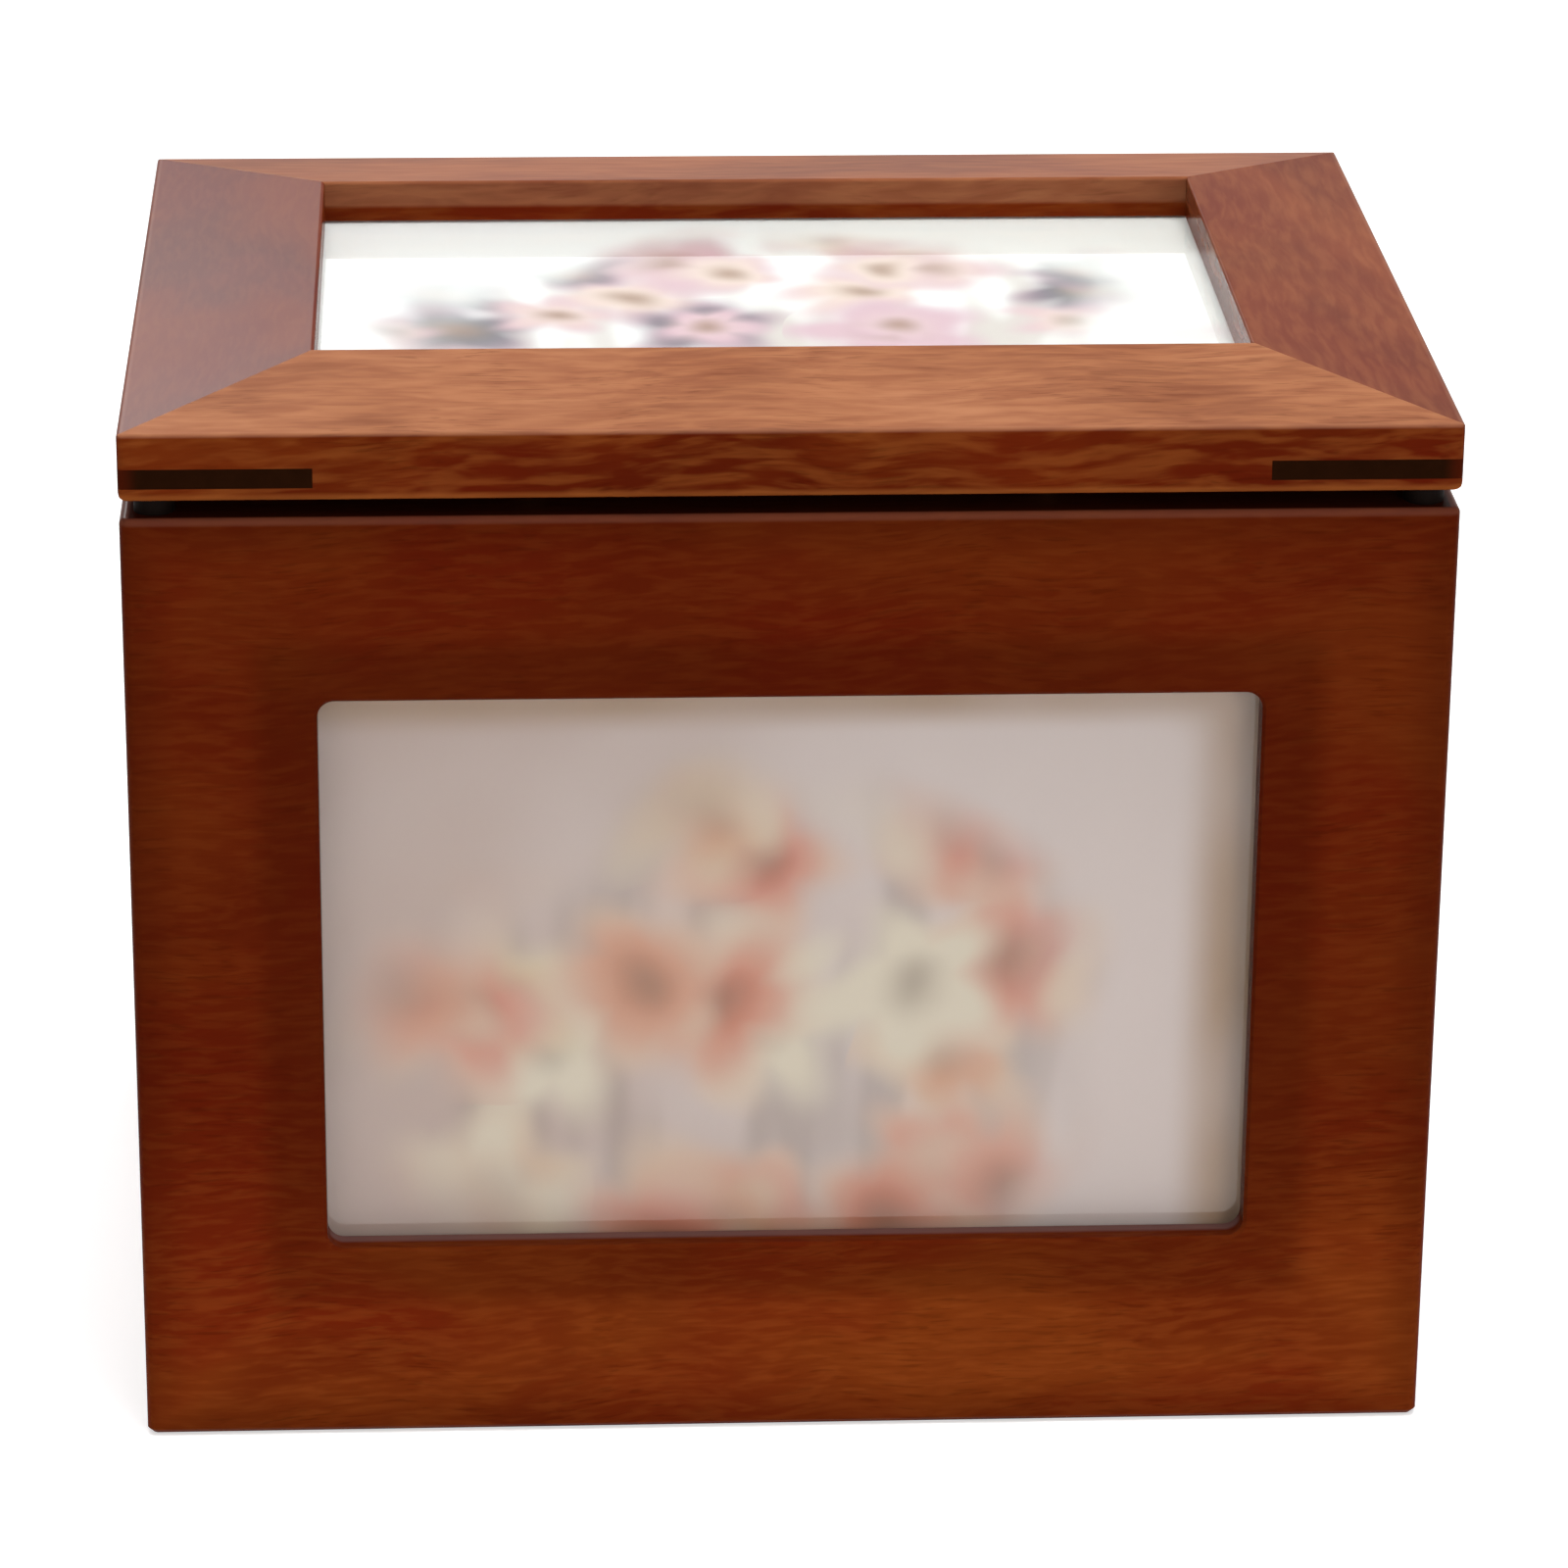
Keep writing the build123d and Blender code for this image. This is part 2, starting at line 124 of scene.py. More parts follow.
def dress(names, material):
    """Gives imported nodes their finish."""
    for name in names:
        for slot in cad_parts[name].material_slots:
            slot.material = material


# ---- What a user may change -----------------------------------------------------------------------

def colour_of(name, description, code):
    """A colour property with its default as a hex code."""
    return FloatVectorProperty(
        name=name, description=description, subtype="COLOR", size=4, min=0.0, max=1.0, default=linear(code)
    )


def length_of(name, description, millimetres):
    """A length property with its default in millimetres."""
    return FloatProperty(
        name=name, description=description, unit="LENGTH", min=0.0, default=millimetres / MM, precision=5
    )


class PhotoBoxWood(bpy.types.PropertyGroup):
    """Stain, figure and lacquer of the hardwood."""

    case_dark: colour_of("Case dark", "Stain in the dark clouds of the case boards", "#72290D")
    case_light: colour_of("Case light", "Stain in the light clouds of the case boards", "#863B13")
    case_red: colour_of("Case red", "Red cast of the case boards in places", "#7A240D")
    # Painted shade: this colour darkens the case towards its top and darkens the lid's left stile
    painted_shade: colour_of("Toner", "Dark red lacquer sprayed thicker towards the top of the case", "#470904")
    lid_dark: colour_of("Lid dark", "Stain in the dark clouds of the lid's moulding", "#5A1A09")
    lid_light: colour_of("Lid light", "Stain in the light clouds of the lid's moulding", "#742E0F")
    lid_red: colour_of("Lid red", "Red cast of the lid's moulding in places", "#661C0A")
    case_streak: colour_of("Case streak", "Paler wood between the pores of the case", "#A65422")
    lid_streak: colour_of("Lid streak", "Paler wood between the pores of the lid", "#B0662E")
    pore: colour_of("Pore", "Stain held by the open pores", "#3A1004")
    # Painted sheen: the paler top of the lid stands in for the lamps' sheen on it
    wiped_and_painted_sheen: colour_of("Wiped wood", "Paler top of the lid, where the stain was wiped thin", "#B47C5A")
    # Painted highlight: this pale colour on the outer top edges of lid and case stands in for their gloss
    arris_highlight: colour_of("Arris", "Outer edges, rubbed through", "#C89A80")
    # Painted sheen: pale colour on the front window's sill, in place of its reflection of the print
    bloom_and_painted_sheen: colour_of("Polish bloom", "Pale polish left on the front window's sill", "#8E7A78")
    # Also the painted shade on the case's rim under the lid
    key: colour_of("Corner key", "Dyed splines in the lid's corners", "#1C0C04")
    key_brown: colour_of("Corner key brown", "Browner patches of the splines", "#2A1408")
    cloud: length_of("Cloud", "Length of the stain's clouds along the grain", 45.0)
    pore_length: length_of("Pore length", "Length of the open pores along the grain", 6.0)
    pore_width: length_of("Pore width", "Width of the open pores across the grain", 0.5)
    roughness: FloatProperty(
        name="Lacquer roughness", description="Satin lacquer, rubbed down", min=0.0, max=1.0, default=0.2
    )


class PhotoBoxPrints(bpy.types.PropertyGroup):
    """Colours of the two generic pictures."""

    ground: colour_of("Front ground", "Soft backdrop of the front picture", "#D3B5AA")
    light: colour_of("Front light", "Lit part of the front picture's backdrop", "#E9D3CE")
    # Painted shade and reflection: this brown edge of the front picture stands in for the lip's shadow and
    # the wood mirrored in the glass
    painted_edge_shade: colour_of("Front edge", "Dim right and top edge of the front picture", "#AC7A3C")
    coral: colour_of("Coral", "Blossoms of the front picture", "#E37F66")
    cream: colour_of("Cream", "Blossoms of both pictures", "#F2DFC9")
    yellow: colour_of("Yellow", "Pale blossoms and light", "#EADFB4")
    stem: colour_of("Stem", "Stems and shadows between the blossoms", "#7A5C44")
    pink: colour_of("Pink", "Blossoms of the lid's picture", "#CFA0B6")
    gold: colour_of("Gold", "Hearts of the blossoms in the lid's picture", "#8E5A26")
    slate: colour_of("Slate", "Leaves in the lid's picture", "#3A3E4C")


class PhotoBoxFittings(bpy.types.PropertyGroup):
    """Small metal, rubber, board and felt parts."""

    brass: colour_of("Brass", "Stamped brass of hinges, buttons and screws", "#D9B46A")
    tarnish: colour_of("Tarnish", "Browned brass in its hollows", "#8E6C34")
    rubber: colour_of("Rubber", "Moulded bumpers", "#0C0604")
    board: colour_of("Backing board", "Fibre board", "#7A5F45")
    base_felt: colour_of("Base felt", "Felt under the box", "#2E2A28")
    base_hair: colour_of("Base hair", "Paler fibres of the felt under the box", "#45403D")
    lining_felt: colour_of("Lining felt", "Felt inside the box and on the backing boards", "#3B2622")
    lining_hair: colour_of("Lining hair", "Paler fibres of the lining felt", "#5A3F39")
    felt_edge: length_of("Felt edge", "Rounding of a felt's cut edge", 0.25)


class PhotoBoxStage(bpy.types.PropertyGroup):
    """Camera, lamps and floor."""

    lens: FloatProperty(name="Lens", description="Focal length in mm", unit="CAMERA", min=1.0, default=144.54)
    distance: FloatProperty(name="Distance", description="Camera to its aim", unit="LENGTH", default=1.0104)
    pitch: FloatProperty(
        name="Pitch", description="How far the camera looks down", subtype="ANGLE",
        default=math.radians(21.519)
    )
    yaw: FloatProperty(
        name="Yaw", description="How far the camera looks to the right", subtype="ANGLE",
        default=math.radians(3.093)
    )
    roll: FloatProperty(
        name="Roll", description="Turn about the line of sight", subtype="ANGLE", default=math.radians(0.514)
    )
    aim: FloatVectorProperty(
        name="Aim", description="Point in the middle of the picture", subtype="TRANSLATION", unit="LENGTH",
        size=3, default=(0.002864, 0.0, 0.077602)
    )
    floor: colour_of("Floor", "Pale table that the box stands on", "#E4E4E4")
    sky: FloatProperty(name="Room light", description="Even light from all round", min=0.0, default=0.38)
    top_lamp: FloatProperty(
        name="Top lamp", description="Softbox overhead", unit="POWER", min=0.0, default=44.0
    )
    back_lamp: FloatProperty(
        name="Back lamp", description="Softbox behind on the left, seen in the lacquer", unit="POWER",
        min=0.0, default=20.0
    )
    front_lamp: FloatProperty(
        name="Front lamp", description="Weak fill from the front", unit="POWER", min=0.0, default=19.0
    )


# ---- Wood -----------------------------------------------------------------------------------------

class Board(NamedTuple):
    """How one board was cut from the log and finished."""

    turn: float           # of its grain, which runs along the board
    start: float          # mm, its place in the log
    figure: float         # share of pores and streaks
    darker: float = 0.0   # share of painted shade, which darkens the whole board
    wiped_and_painted_sheen: float = 0.0    # share of painted sheen on its top
    dull: float = 0.0     # how much rougher the lacquer was rubbed
    coarse: float = 1.0   # size of its streaks


# On the lid, a member's top share is painted sheen, more on some members than others, and the left stile's
# darker share is painted shade
BOARDS = {
    "front_panel": Board(0.0, 0.0, 0.75),
    "back_panel": Board(0.0, 400.0, 0.75),
    "bottom_panel": Board(0.0, 800.0, 0.6),
    "left_side": Board(-QUARTER_TURN, 1200.0, 0.75),
    "right_side": Board(-QUARTER_TURN, 1600.0, 0.75),
    "lid_front_rail": Board(0.0, 2000.0, 0.75, wiped_and_painted_sheen=0.57, coarse=1.5),
    "lid_back_rail": Board(0.0, 2400.0, 0.4, wiped_and_painted_sheen=0.35, dull=0.12, coarse=1.5),
    "lid_left_stile": Board(-QUARTER_TURN, 2800.0, 0.12, darker=0.3),
    "lid_right_stile": Board(-QUARTER_TURN, 3200.0, 0.3, wiped_and_painted_sheen=0.15, coarse=1.5),
}
GRAIN_SLANT = math.radians(2.5)      # the log's grain wanders off the board's edge
GRAIN_SWAY = (0.0, 6.0, 6.0)         # mm that the grain weaves to each side, over GRAIN_BEND
GRAIN_BEND = 34.0                    # mm
LOG_PLACE = (1.0, 0.37, 0.61)        # how a board's place in the log moves its grain on each axis
CLOUD_BREADTH = 0.55                 # of a cloud's length
LID_RISE = 3.95                      # mm that the lid's inner edge stands above its outer one
PAINTED_SHEEN_UNEVEN = {"cloud": 0.3, "streak": 0.2}  # the painted sheen is uneven with the stain's clouds and the grain
TONER_REACH = 9.0                    # mm that the darker spray reaches in from an edge of the case
WINDOW_REACH = 0.6 * TONER_REACH     # and out from the window's edge
EDGE_SHARE = 0.35                    # of the darker spray in the colour, along those edges
SILL_DROP = 0.4                      # mm under the sill, where its painted sheen ends
KEY_FADE = 3.0                       # mm from a corner's tip, where its dark key starts to brown
KEY_WORN = 0.5                       # share of brown at the tip

# Marks of painted light and shade: where each starts and is full, in mm from the edge that
# it follows, and its share of the colour. A mark is multiplied by its _in, _out or _low.
MARKS = {
    "painted_shade": (10.0, 66.0, 0.55),     # up the case: painted shade, darker towards the top
    "rim": (-0.3, -0.1, 0.7),        # up to the case's top: painted shade, dark in the gap under the lid
    "rim_in": (0.7, 1.2, 1.0),       # in from its outside
    "crest_highlight": (-1.3, -0.6, 1.0),      # up to the case's top: painted highlight
    "crest_out": (1.2, 0.7, 0.07),   # in from its outside
    "sill": (-2.6, -1.3, 0.34),      # towards the front glass: painted sheen
    "sill_low": (2.2, 0.8, 1.0),     # above the sill
    "arris_highlight": (-0.6, -0.25, 1.0),     # up to the lid's outer top edge: painted highlight
    "arris_out": (0.9, 0.4, 0.08),   # in from its outside
    "foot": (1.8, 0.8, 1.0),         # above the lid's underside: painted highlight on its rounded lower edge
    "foot_out": (1.2, 0.8, 0.4),     # in from its outside
}
LID_TOP = (-0.6, 0.3)                # mm from the lid's outer top edge: its painted sheen starts and is full

# Rubbed satin lacquer: a weak, warm gloss
LACQUER = {"IOR": 1.5, "Specular IOR Level": 0.01, "Specular Tint": linear("#FF9F59")}


def grain_layers(look, coarse):
    """Size along and across the grain, in mm, and detail of each layer of the figure."""
    return {
        "cloud": (look.cloud * MM, look.cloud * MM * CLOUD_BREADTH, 2.5),
        "streak": (7.0 * coarse, 1.2 * coarse, 2.5),
        "fibre": (7.0, 0.5, 1.0),
        "pore": (look.pore_length * MM, look.pore_width * MM, 1.0),
        "crowd": (26.0, 12.0, 1.0),
    }


def toner_at_edges(tree, grid):
    """Share of the dark tinted lacquer that a sprayer lays along the outer edges of the case: 1 at an
    edge and 0 where the nearest one is TONER_REACH away. On a face, the nearest edge is the middle
    one of the three distances to the box's sides."""
    low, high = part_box("front_panel")
    middle = (0.0, 0.0, high.z * MM / 2)
    half = (high.x * MM, -low.y * MM, high.z * MM / 2)
    offset = add(tree, "ShaderNodeVectorMath", {0: grid, 1: middle}, operation="SUBTRACT")
    x, y, z = inward(tree, offset, half)
    least = add(tree, "ShaderNodeMath", {0: x, 1: y}, operation="MINIMUM")
    most = add(tree, "ShaderNodeMath", {0: x, 1: y}, operation="MAXIMUM")
    nearer = add(tree, "ShaderNodeMath", {0: most, 1: z}, operation="MINIMUM")
    second = add(tree, "ShaderNodeMath", {0: least, 1: nearer}, operation="MAXIMUM")
    return add(tree, "ShaderNodeMapRange", {
        "Value": second, "From Min": TONER_REACH, "From Max": 0.0
    }, interpolation_type="SMOOTHSTEP")


def toner_at_window(tree, grid):
    """Share of the dark tinted lacquer around the front window, where the spray was held longer."""
    low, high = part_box("front_glass")
    middle = tuple((a + b) / 2 * MM for a, b in zip(low, high))
    half = ((high.x - low.x) * MM / 2, MM, (high.z - low.z) * MM / 2)
    offset = add(tree, "ShaderNodeVectorMath", {0: grid, 1: middle}, operation="SUBTRACT")
    offset = add(tree, "ShaderNodeVectorMath", {0: offset}, operation="ABSOLUTE")
    outward = add(tree, "ShaderNodeVectorMath", {0: offset, 1: half}, operation="SUBTRACT")
    outward = add(tree, "ShaderNodeVectorMath", {0: outward, 1: (0.0, 0.0, 0.0)}, operation="MAXIMUM")
    away = add(tree, "ShaderNodeVectorMath", {0: outward}, operation="LENGTH")
    return add(tree, "ShaderNodeMapRange", {
        "Value": away.outputs["Value"], "From Min": WINDOW_REACH, "From Max": 0.0
    }, interpolation_type="SMOOTHSTEP")


def painted_light_marks(tree, edges):
    """Share of each painted mark of light and shade, from the distance that it follows and the edge's place
    along it, in mm.
    """
    shares = {}
    for mark, (distance, edge) in edges.items():
        start, full, share = MARKS[mark]
        shares[mark] = add(tree, "ShaderNodeMapRange", {
            "Value": distance, "From Min": edge + start, "From Max": edge + full, "To Max": share
        }, interpolation_type="SMOOTHSTEP")
    return shares


def painted_sheen_on_sill(tree, grid):
    """Share of painted sheen on the window's sill, standing in for its reflection of the bright print,
    against the glass and only low in the opening.
    """
    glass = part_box("front_glass")[0].y * MM
    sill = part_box("front_print")[0].z * MM + SIGHT_COVER
    parts = add(tree, "ShaderNodeSeparateXYZ", {0: grid})
    marks = painted_light_marks(tree, {"sill": (parts.outputs[1], glass), "sill_low": (parts.outputs[2], sill)})
    above = add(tree, "ShaderNodeMath", {
        0: parts.outputs[2], 1: sill - SILL_DROP
    }, operation="GREATER_THAN")
    share = add(tree, "ShaderNodeMath", {0: marks["sill"], 1: marks["sill_low"]}, operation="MULTIPLY")
    return add(tree, "ShaderNodeMath", {0: share, 1: above}, operation="MULTIPLY")


def near_outside(tree, grid, node):
    """Distance in mm from the nearest upright outer face of the ring that a board is part of, and
    height above the table."""
    low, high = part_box(node)
    x, y, z = inward(tree, grid, (high.x * MM, -low.y * MM, 0.0))
    near = add(tree, "ShaderNodeMath", {0: x, 1: y}, operation="MINIMUM")
    rise = add(tree, "ShaderNodeMath", {0: z, 1: -1.0}, operation="MULTIPLY")
    return near, rise


def lid_painted_light(tree, grid, look, layers, wiped_and_painted_sheen):
    """Painted sheen on the top of the lid's moulding, and painted highlights along its outer top edge and its
    underside.
    """
    low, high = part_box("lid_front_rail")
    near, rise = near_outside(tree, grid, "lid_front_rail")
    shoulder = high.z * MM - LID_RISE
    foot = low.z * MM
    marks = painted_light_marks(tree, {
        "arris_highlight": (rise, shoulder), "arris_out": (near, 0.0), "foot": (rise, foot), "foot_out": (near, 0.0)
    })
    # Painted sheen on the lid's top
    top = add(tree, "ShaderNodeMapRange", {
        "Value": rise, "From Min": shoulder + LID_TOP[0], "From Max": shoulder + LID_TOP[1], "To Max": wiped_and_painted_sheen
    }, interpolation_type="SMOOTHSTEP")
    for layer, uneven in PAINTED_SHEEN_UNEVEN.items():
        patchy = add(tree, "ShaderNodeMapRange", {
            "Value": layers[layer], "From Min": 0.3, "From Max": 0.7,
            "To Min": 1 - uneven, "To Max": 1 + uneven
        })
        top = add(tree, "ShaderNodeMath", {0: top, 1: patchy}, operation="MULTIPLY")
    # Painted highlights along the lid's outer top edge and its rounded underside edge
    arris_highlight = add(tree, "ShaderNodeMath", {0: marks["arris_highlight"], 1: marks["arris_out"]}, operation="MULTIPLY")
    foot = add(tree, "ShaderNodeMath", {0: marks["foot"], 1: marks["foot_out"]}, operation="MULTIPLY")
    return [(top, look.wiped_and_painted_sheen), (arris_highlight, look.arris_highlight), (foot, look.lid_streak)]


def case_toner_and_painted_light(tree, grid, look, board):
    """Marks on the case: painted shade that darkens it towards its top, dark tinted lacquer along its edges
    and round the window, a painted highlight on its outer top edge, painted shade on the rim under the lid,
    and painted sheen on the window's sill."""
    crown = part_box("front_panel")[1].z * MM
    near, rise = near_outside(tree, grid, "front_panel")
    marks = painted_light_marks(tree, {
        "painted_shade": (rise, 0.0), "rim": (rise, crown), "rim_in": (near, 0.0),
        "crest_highlight": (rise, crown), "crest_out": (near, 0.0),
    })
    edge = add(tree, "ShaderNodeMath", {0: toner_at_edges(tree, grid), 1: EDGE_SHARE}, operation="MULTIPLY")
    # Painted shade on the rim under the lid, in the keys' near-black
    rim = add(tree, "ShaderNodeMath", {0: marks["rim"], 1: marks["rim_in"]}, operation="MULTIPLY")
    # Painted highlight along the case's outer top edge
    crest_highlight = add(tree, "ShaderNodeMath", {0: marks["crest_highlight"], 1: marks["crest_out"]}, operation="MULTIPLY")
    veils = [(marks["painted_shade"], look.painted_shade), (edge, look.pore), (rim, look.key), (crest_highlight, look.arris_highlight)]
    if board == "front_panel":
        around = add(tree, "ShaderNodeMath", {
            0: toner_at_window(tree, grid), 1: EDGE_SHARE
        }, operation="MULTIPLY")
        # Painted sheen on the window's sill
        veils += [(around, look.pore), (painted_sheen_on_sill(tree, grid), look.bloom_and_painted_sheen)]
    return veils


def stained_hardwood(name, board, look):
    """Open-pored hardwood, planed, stained mahogany brown and sprayed with satin lacquer. The stain
    lies in clouds of brown and red, the pores show as short dark dashes along a weaving grain, and
    the lacquer gives a soft warm sheen that grows at a low angle."""
    cut = BOARDS[board]
    part = "lid" if board.startswith("lid") else "case"
    tints = ("dark", "light", "red", "streak")
    dark, light, red, streak = (getattr(look, f"{part}_{tint}") for tint in tints)
    material, tree = new_material(name)
    grid = millimetres(tree)
    straight = add(tree, "ShaderNodeMapping", {
        "Vector": grid,
        "Location": tuple(cut.start * share for share in LOG_PLACE),
        "Rotation": (0.0, GRAIN_SLANT, cut.turn),
    })
    sway = add(tree, "ShaderNodeTexNoise", {"Vector": straight, "Scale": 1 / GRAIN_BEND, "Detail": 1.0})
    along = add(tree, "ShaderNodeVectorMath", {
        0: sway.outputs["Color"], 1: GRAIN_SWAY, 2: straight
    }, operation="MULTIPLY_ADD")
    layers = {}
    for layer, (long, wide, detail) in grain_layers(look, cut.coarse).items():
        stretched = add(tree, "ShaderNodeVectorMath", {
            0: along, 1: (1 / long, 1 / wide, 1 / wide)
        }, operation="MULTIPLY")
        layers[layer] = add(tree, "ShaderNodeTexNoise", {
            "Vector": stretched, "Scale": 1.0, "Detail": detail, "Distortion": 0.3
        })
    chance = add(tree, "ShaderNodeSeparateColor", {0: layers["cloud"].outputs["Color"]})
    shares = {}
    for key, (source, low, high, share) in {
        "cloud": (layers["cloud"], 0.36, 0.64, 1.0),
        "red": (chance.outputs[2], 0.42, 0.66, 0.7),
        "streak": (layers["streak"], 0.38, 0.68, 0.36 * cut.figure),
        "fibre": (layers["fibre"], 0.36, 0.72, 0.24 * cut.figure),
        "pore": (layers["pore"], 0.55, 0.72, 0.35 * cut.figure),
        "crowd": (layers["crowd"], 0.35, 0.6, 1.0),
    }.items():
        shares[key] = add(tree, "ShaderNodeMapRange", {
            "Value": source, "From Min": low, "From Max": high, "To Max": share
        }, interpolation_type="SMOOTHSTEP")
    pores = add(tree, "ShaderNodeMath", {0: shares["pore"], 1: shares["crowd"]}, operation="MULTIPLY")
    tone = add(tree, "ShaderNodeMix", {0: shares["cloud"], 6: dark, 7: light}, data_type="RGBA")
    # The darker share is painted shade on a board
    veils = [(shares["red"], red), (cut.darker, look.painted_shade), (shares["streak"], streak)]
    if part == "lid":
        wear_and_painted_light = lid_painted_light(tree, grid, look, layers, cut.wiped_and_painted_sheen)
    else:
        wear_and_painted_light = case_toner_and_painted_light(tree, grid, look, board)
    # The marks add painted sheen, painted highlights and painted shade, with the case's real dark edge spray
    veils += [(shares["fibre"], dark), wear_and_painted_light[0], (pores, look.pore)] + wear_and_painted_light[1:]
    for share, colour in veils:
        tone = add(tree, "ShaderNodeMix", {0: share, 6: tone.outputs[2], 7: colour}, data_type="RGBA")
    rubbed = look.roughness + cut.dull
    gloss = add(tree, "ShaderNodeMapRange", {
        "Value": layers["cloud"], "To Min": rubbed - 0.04, "To Max": rubbed + 0.05
    })
    raised = add(tree, "ShaderNodeMath", {0: pores, 1: -1.0, 2: layers["fibre"]}, operation="MULTIPLY_ADD")
    relief = add(tree, "ShaderNodeBump", {"Strength": 0.12, "Distance": 0.05 / MM, "Height": raised})
    surface(tree, {"Base Color": tone.outputs[2], "Roughness": gloss, "Normal": relief, **LACQUER})
    return material


def dyed_key(name, look):
    """Hardwood spline dyed almost black and levelled with the moulding. It lightens to brown where
    the corner was sanded, so its dark line fades at the corner."""
    material, tree = new_material(name)
    grid = millimetres(tree)
    mottle = add(tree, "ShaderNodeTexNoise", {"Vector": grid, "Scale": 0.35, "Detail": 3.0})
    low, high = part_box("lid_front_rail")
    depth = inward(tree, grid, (high.x * MM, -low.y * MM, 0.0))
    reach = add(tree, "ShaderNodeMath", {0: depth[0], 1: depth[1]}, operation="ADD")
    wear_and_painted_light = add(tree, "ShaderNodeMapRange", {
        "Value": reach, "From Min": KEY_FADE, "From Max": 0.0, "To Max": KEY_WORN
    }, interpolation_type="SMOOTHSTEP")
    dark = add(tree, "ShaderNodeMix", {0: mottle, 6: look.key, 7: look.key_brown}, data_type="RGBA")
    tone = add(tree, "ShaderNodeMix", {0: wear_and_painted_light, 6: dark.outputs[2], 7: look.lid_dark}, data_type="RGBA")
    gloss = add(tree, "ShaderNodeMapRange", {
        "Value": mottle, "To Min": look.roughness, "To Max": look.roughness + 0.1
    })
    relief = add(tree, "ShaderNodeBump", {"Strength": 0.2, "Distance": 0.05 / MM, "Height": mottle})
    surface(tree, {"Base Color": tone.outputs[2], "Roughness": gloss, "Normal": relief, **LACQUER})
    return material


# ---- Prints and glass -----------------------------------------------------------------------------

class Picture(NamedTuple):
    """A generic picture of soft-focus blossoms: its colours, its flowers and where they lie."""

    axes: tuple           # the frame's two axes along the print
    ground: tuple         # two colours of the hazy backdrop
    petals: list          # ramp of the flowers' colours
    pale: tuple           # colour of the petals' tips
    heart: tuple          # colour of the flowers' hearts
    hearts: float         # and its share
    stem: tuple           # colour between the flowers
    stems: float          # and its share
    clusters: list        # cell in mm, reach as a share of it, and start in mm of each layer of flowers
    middle: tuple         # mm, middle of the flowers' bed
    spread: tuple         # mm, its half size
    edge: tuple           # colour of the painted shade and wood reflection on the picture's right and at its top
    edges: float          # and its share


PETALS = 5.0
PETAL_NOTCH = 0.15                   # of a flower's reach, between the petals
PETAL_BLUR = 0.13                    # of a cell: the flowers are out of focus
STRAY_TURNS = 1.2                    # of the flowers' straying, to a cell
STRAY_REACH = 0.45                   # of a cell
STALK_STRETCH = (0.09, 0.02, 0.0)    # turns per mm across and up: the stems are drawn out upwards
HAZE_SIZE = 38.0                     # mm
DRIFT = 60.0                         # mm to each side of the middle, where the backdrop grows lighter
BED_RAGGED = 0.9                     # how much the haze frays the flowers' bed
BED_EDGE = (1.6, 1.1)                # of its half size with the haze, where it starts and is full
EDGE_BLEND = 0.12                    # of half a print: how softly its two dark edges meet
EDGE_REACH = (0.82, 0.93)            # of half a print, where the painted shade starts and is full
EDGE_SHIFT = (-4.6, -5.6, 0.0)       # mm that the painted shade on the right and at the top reaches in


def blossoms(tree, plane, cell, reach, start):
    """Scattered flowers of five petals, one in each cell, out of focus. Gives their cover, a chance
    for each flower's colour, and the distance from each flower's heart."""
    bent = add(tree, "ShaderNodeTexNoise", {"Vector": plane, "Scale": STRAY_TURNS / cell, "Detail": 1.5})
    bent = add(tree, "ShaderNodeVectorMath", {
        0: bent.outputs["Color"], 1: (STRAY_REACH * cell,) * 3, 2: start
    }, operation="MULTIPLY_ADD")
    spot = add(tree, "ShaderNodeVectorMath", {0: plane, 1: bent}, operation="ADD")
    grid = add(tree, "ShaderNodeVectorMath", {0: spot, "Scale": 1 / cell}, operation="SCALE")
    cells = add(tree, "ShaderNodeTexVoronoi", {
        "Vector": grid, "Scale": 1.0, "Randomness": 0.3
    }, voronoi_dimensions="2D")
    arm = add(tree, "ShaderNodeVectorMath", {0: grid, 1: cells.outputs["Position"]}, operation="SUBTRACT")
    parts = add(tree, "ShaderNodeSeparateXYZ", {0: arm})
    angle = add(tree, "ShaderNodeMath", {0: parts.outputs[1], 1: parts.outputs[0]}, operation="ARCTAN2")
    chance = add(tree, "ShaderNodeSeparateColor", {0: cells.outputs["Color"]})
    phase = add(tree, "ShaderNodeMath", {0: chance.outputs[1], 1: 2 * HALF_TURN}, operation="MULTIPLY")
    swing = add(tree, "ShaderNodeMath", {0: angle, 1: PETALS, 2: phase}, operation="MULTIPLY_ADD")
    wave = add(tree, "ShaderNodeMath", {0: swing}, operation="COSINE")
    edge = add(tree, "ShaderNodeMath", {
        0: wave, 1: PETAL_NOTCH * reach, 2: (1 - PETAL_NOTCH) * reach
    }, operation="MULTIPLY_ADD")
    inside = add(tree, "ShaderNodeMath", {0: edge, 1: cells.outputs["Distance"]}, operation="SUBTRACT")
    cover = add(tree, "ShaderNodeMapRange", {
        "Value": inside, "From Min": -PETAL_BLUR, "From Max": PETAL_BLUR
    }, interpolation_type="SMOOTHSTEP")
    return cover, chance, cells.outputs["Distance"]


def print_plane(tree, name, axes):
    """A point's place on a print in mm, from the print's middle, and the part of it along the width."""
    place = add(tree, "ShaderNodeTexCoord")
    parts = add(tree, "ShaderNodeSeparateXYZ", {0: place.outputs["Object"]})
    low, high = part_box(name)
    centre = (low[axes[1]] + high[axes[1]]) / 2 * MM
    across = add(tree, "ShaderNodeMath", {0: parts.outputs[axes[0]], 1: MM}, operation="MULTIPLY")
    rise = add(tree, "ShaderNodeMath", {
        0: parts.outputs[axes[1]], 1: MM, 2: -centre
    }, operation="MULTIPLY_ADD")
    return add(tree, "ShaderNodeCombineXYZ", {0: across, 1: rise}), across


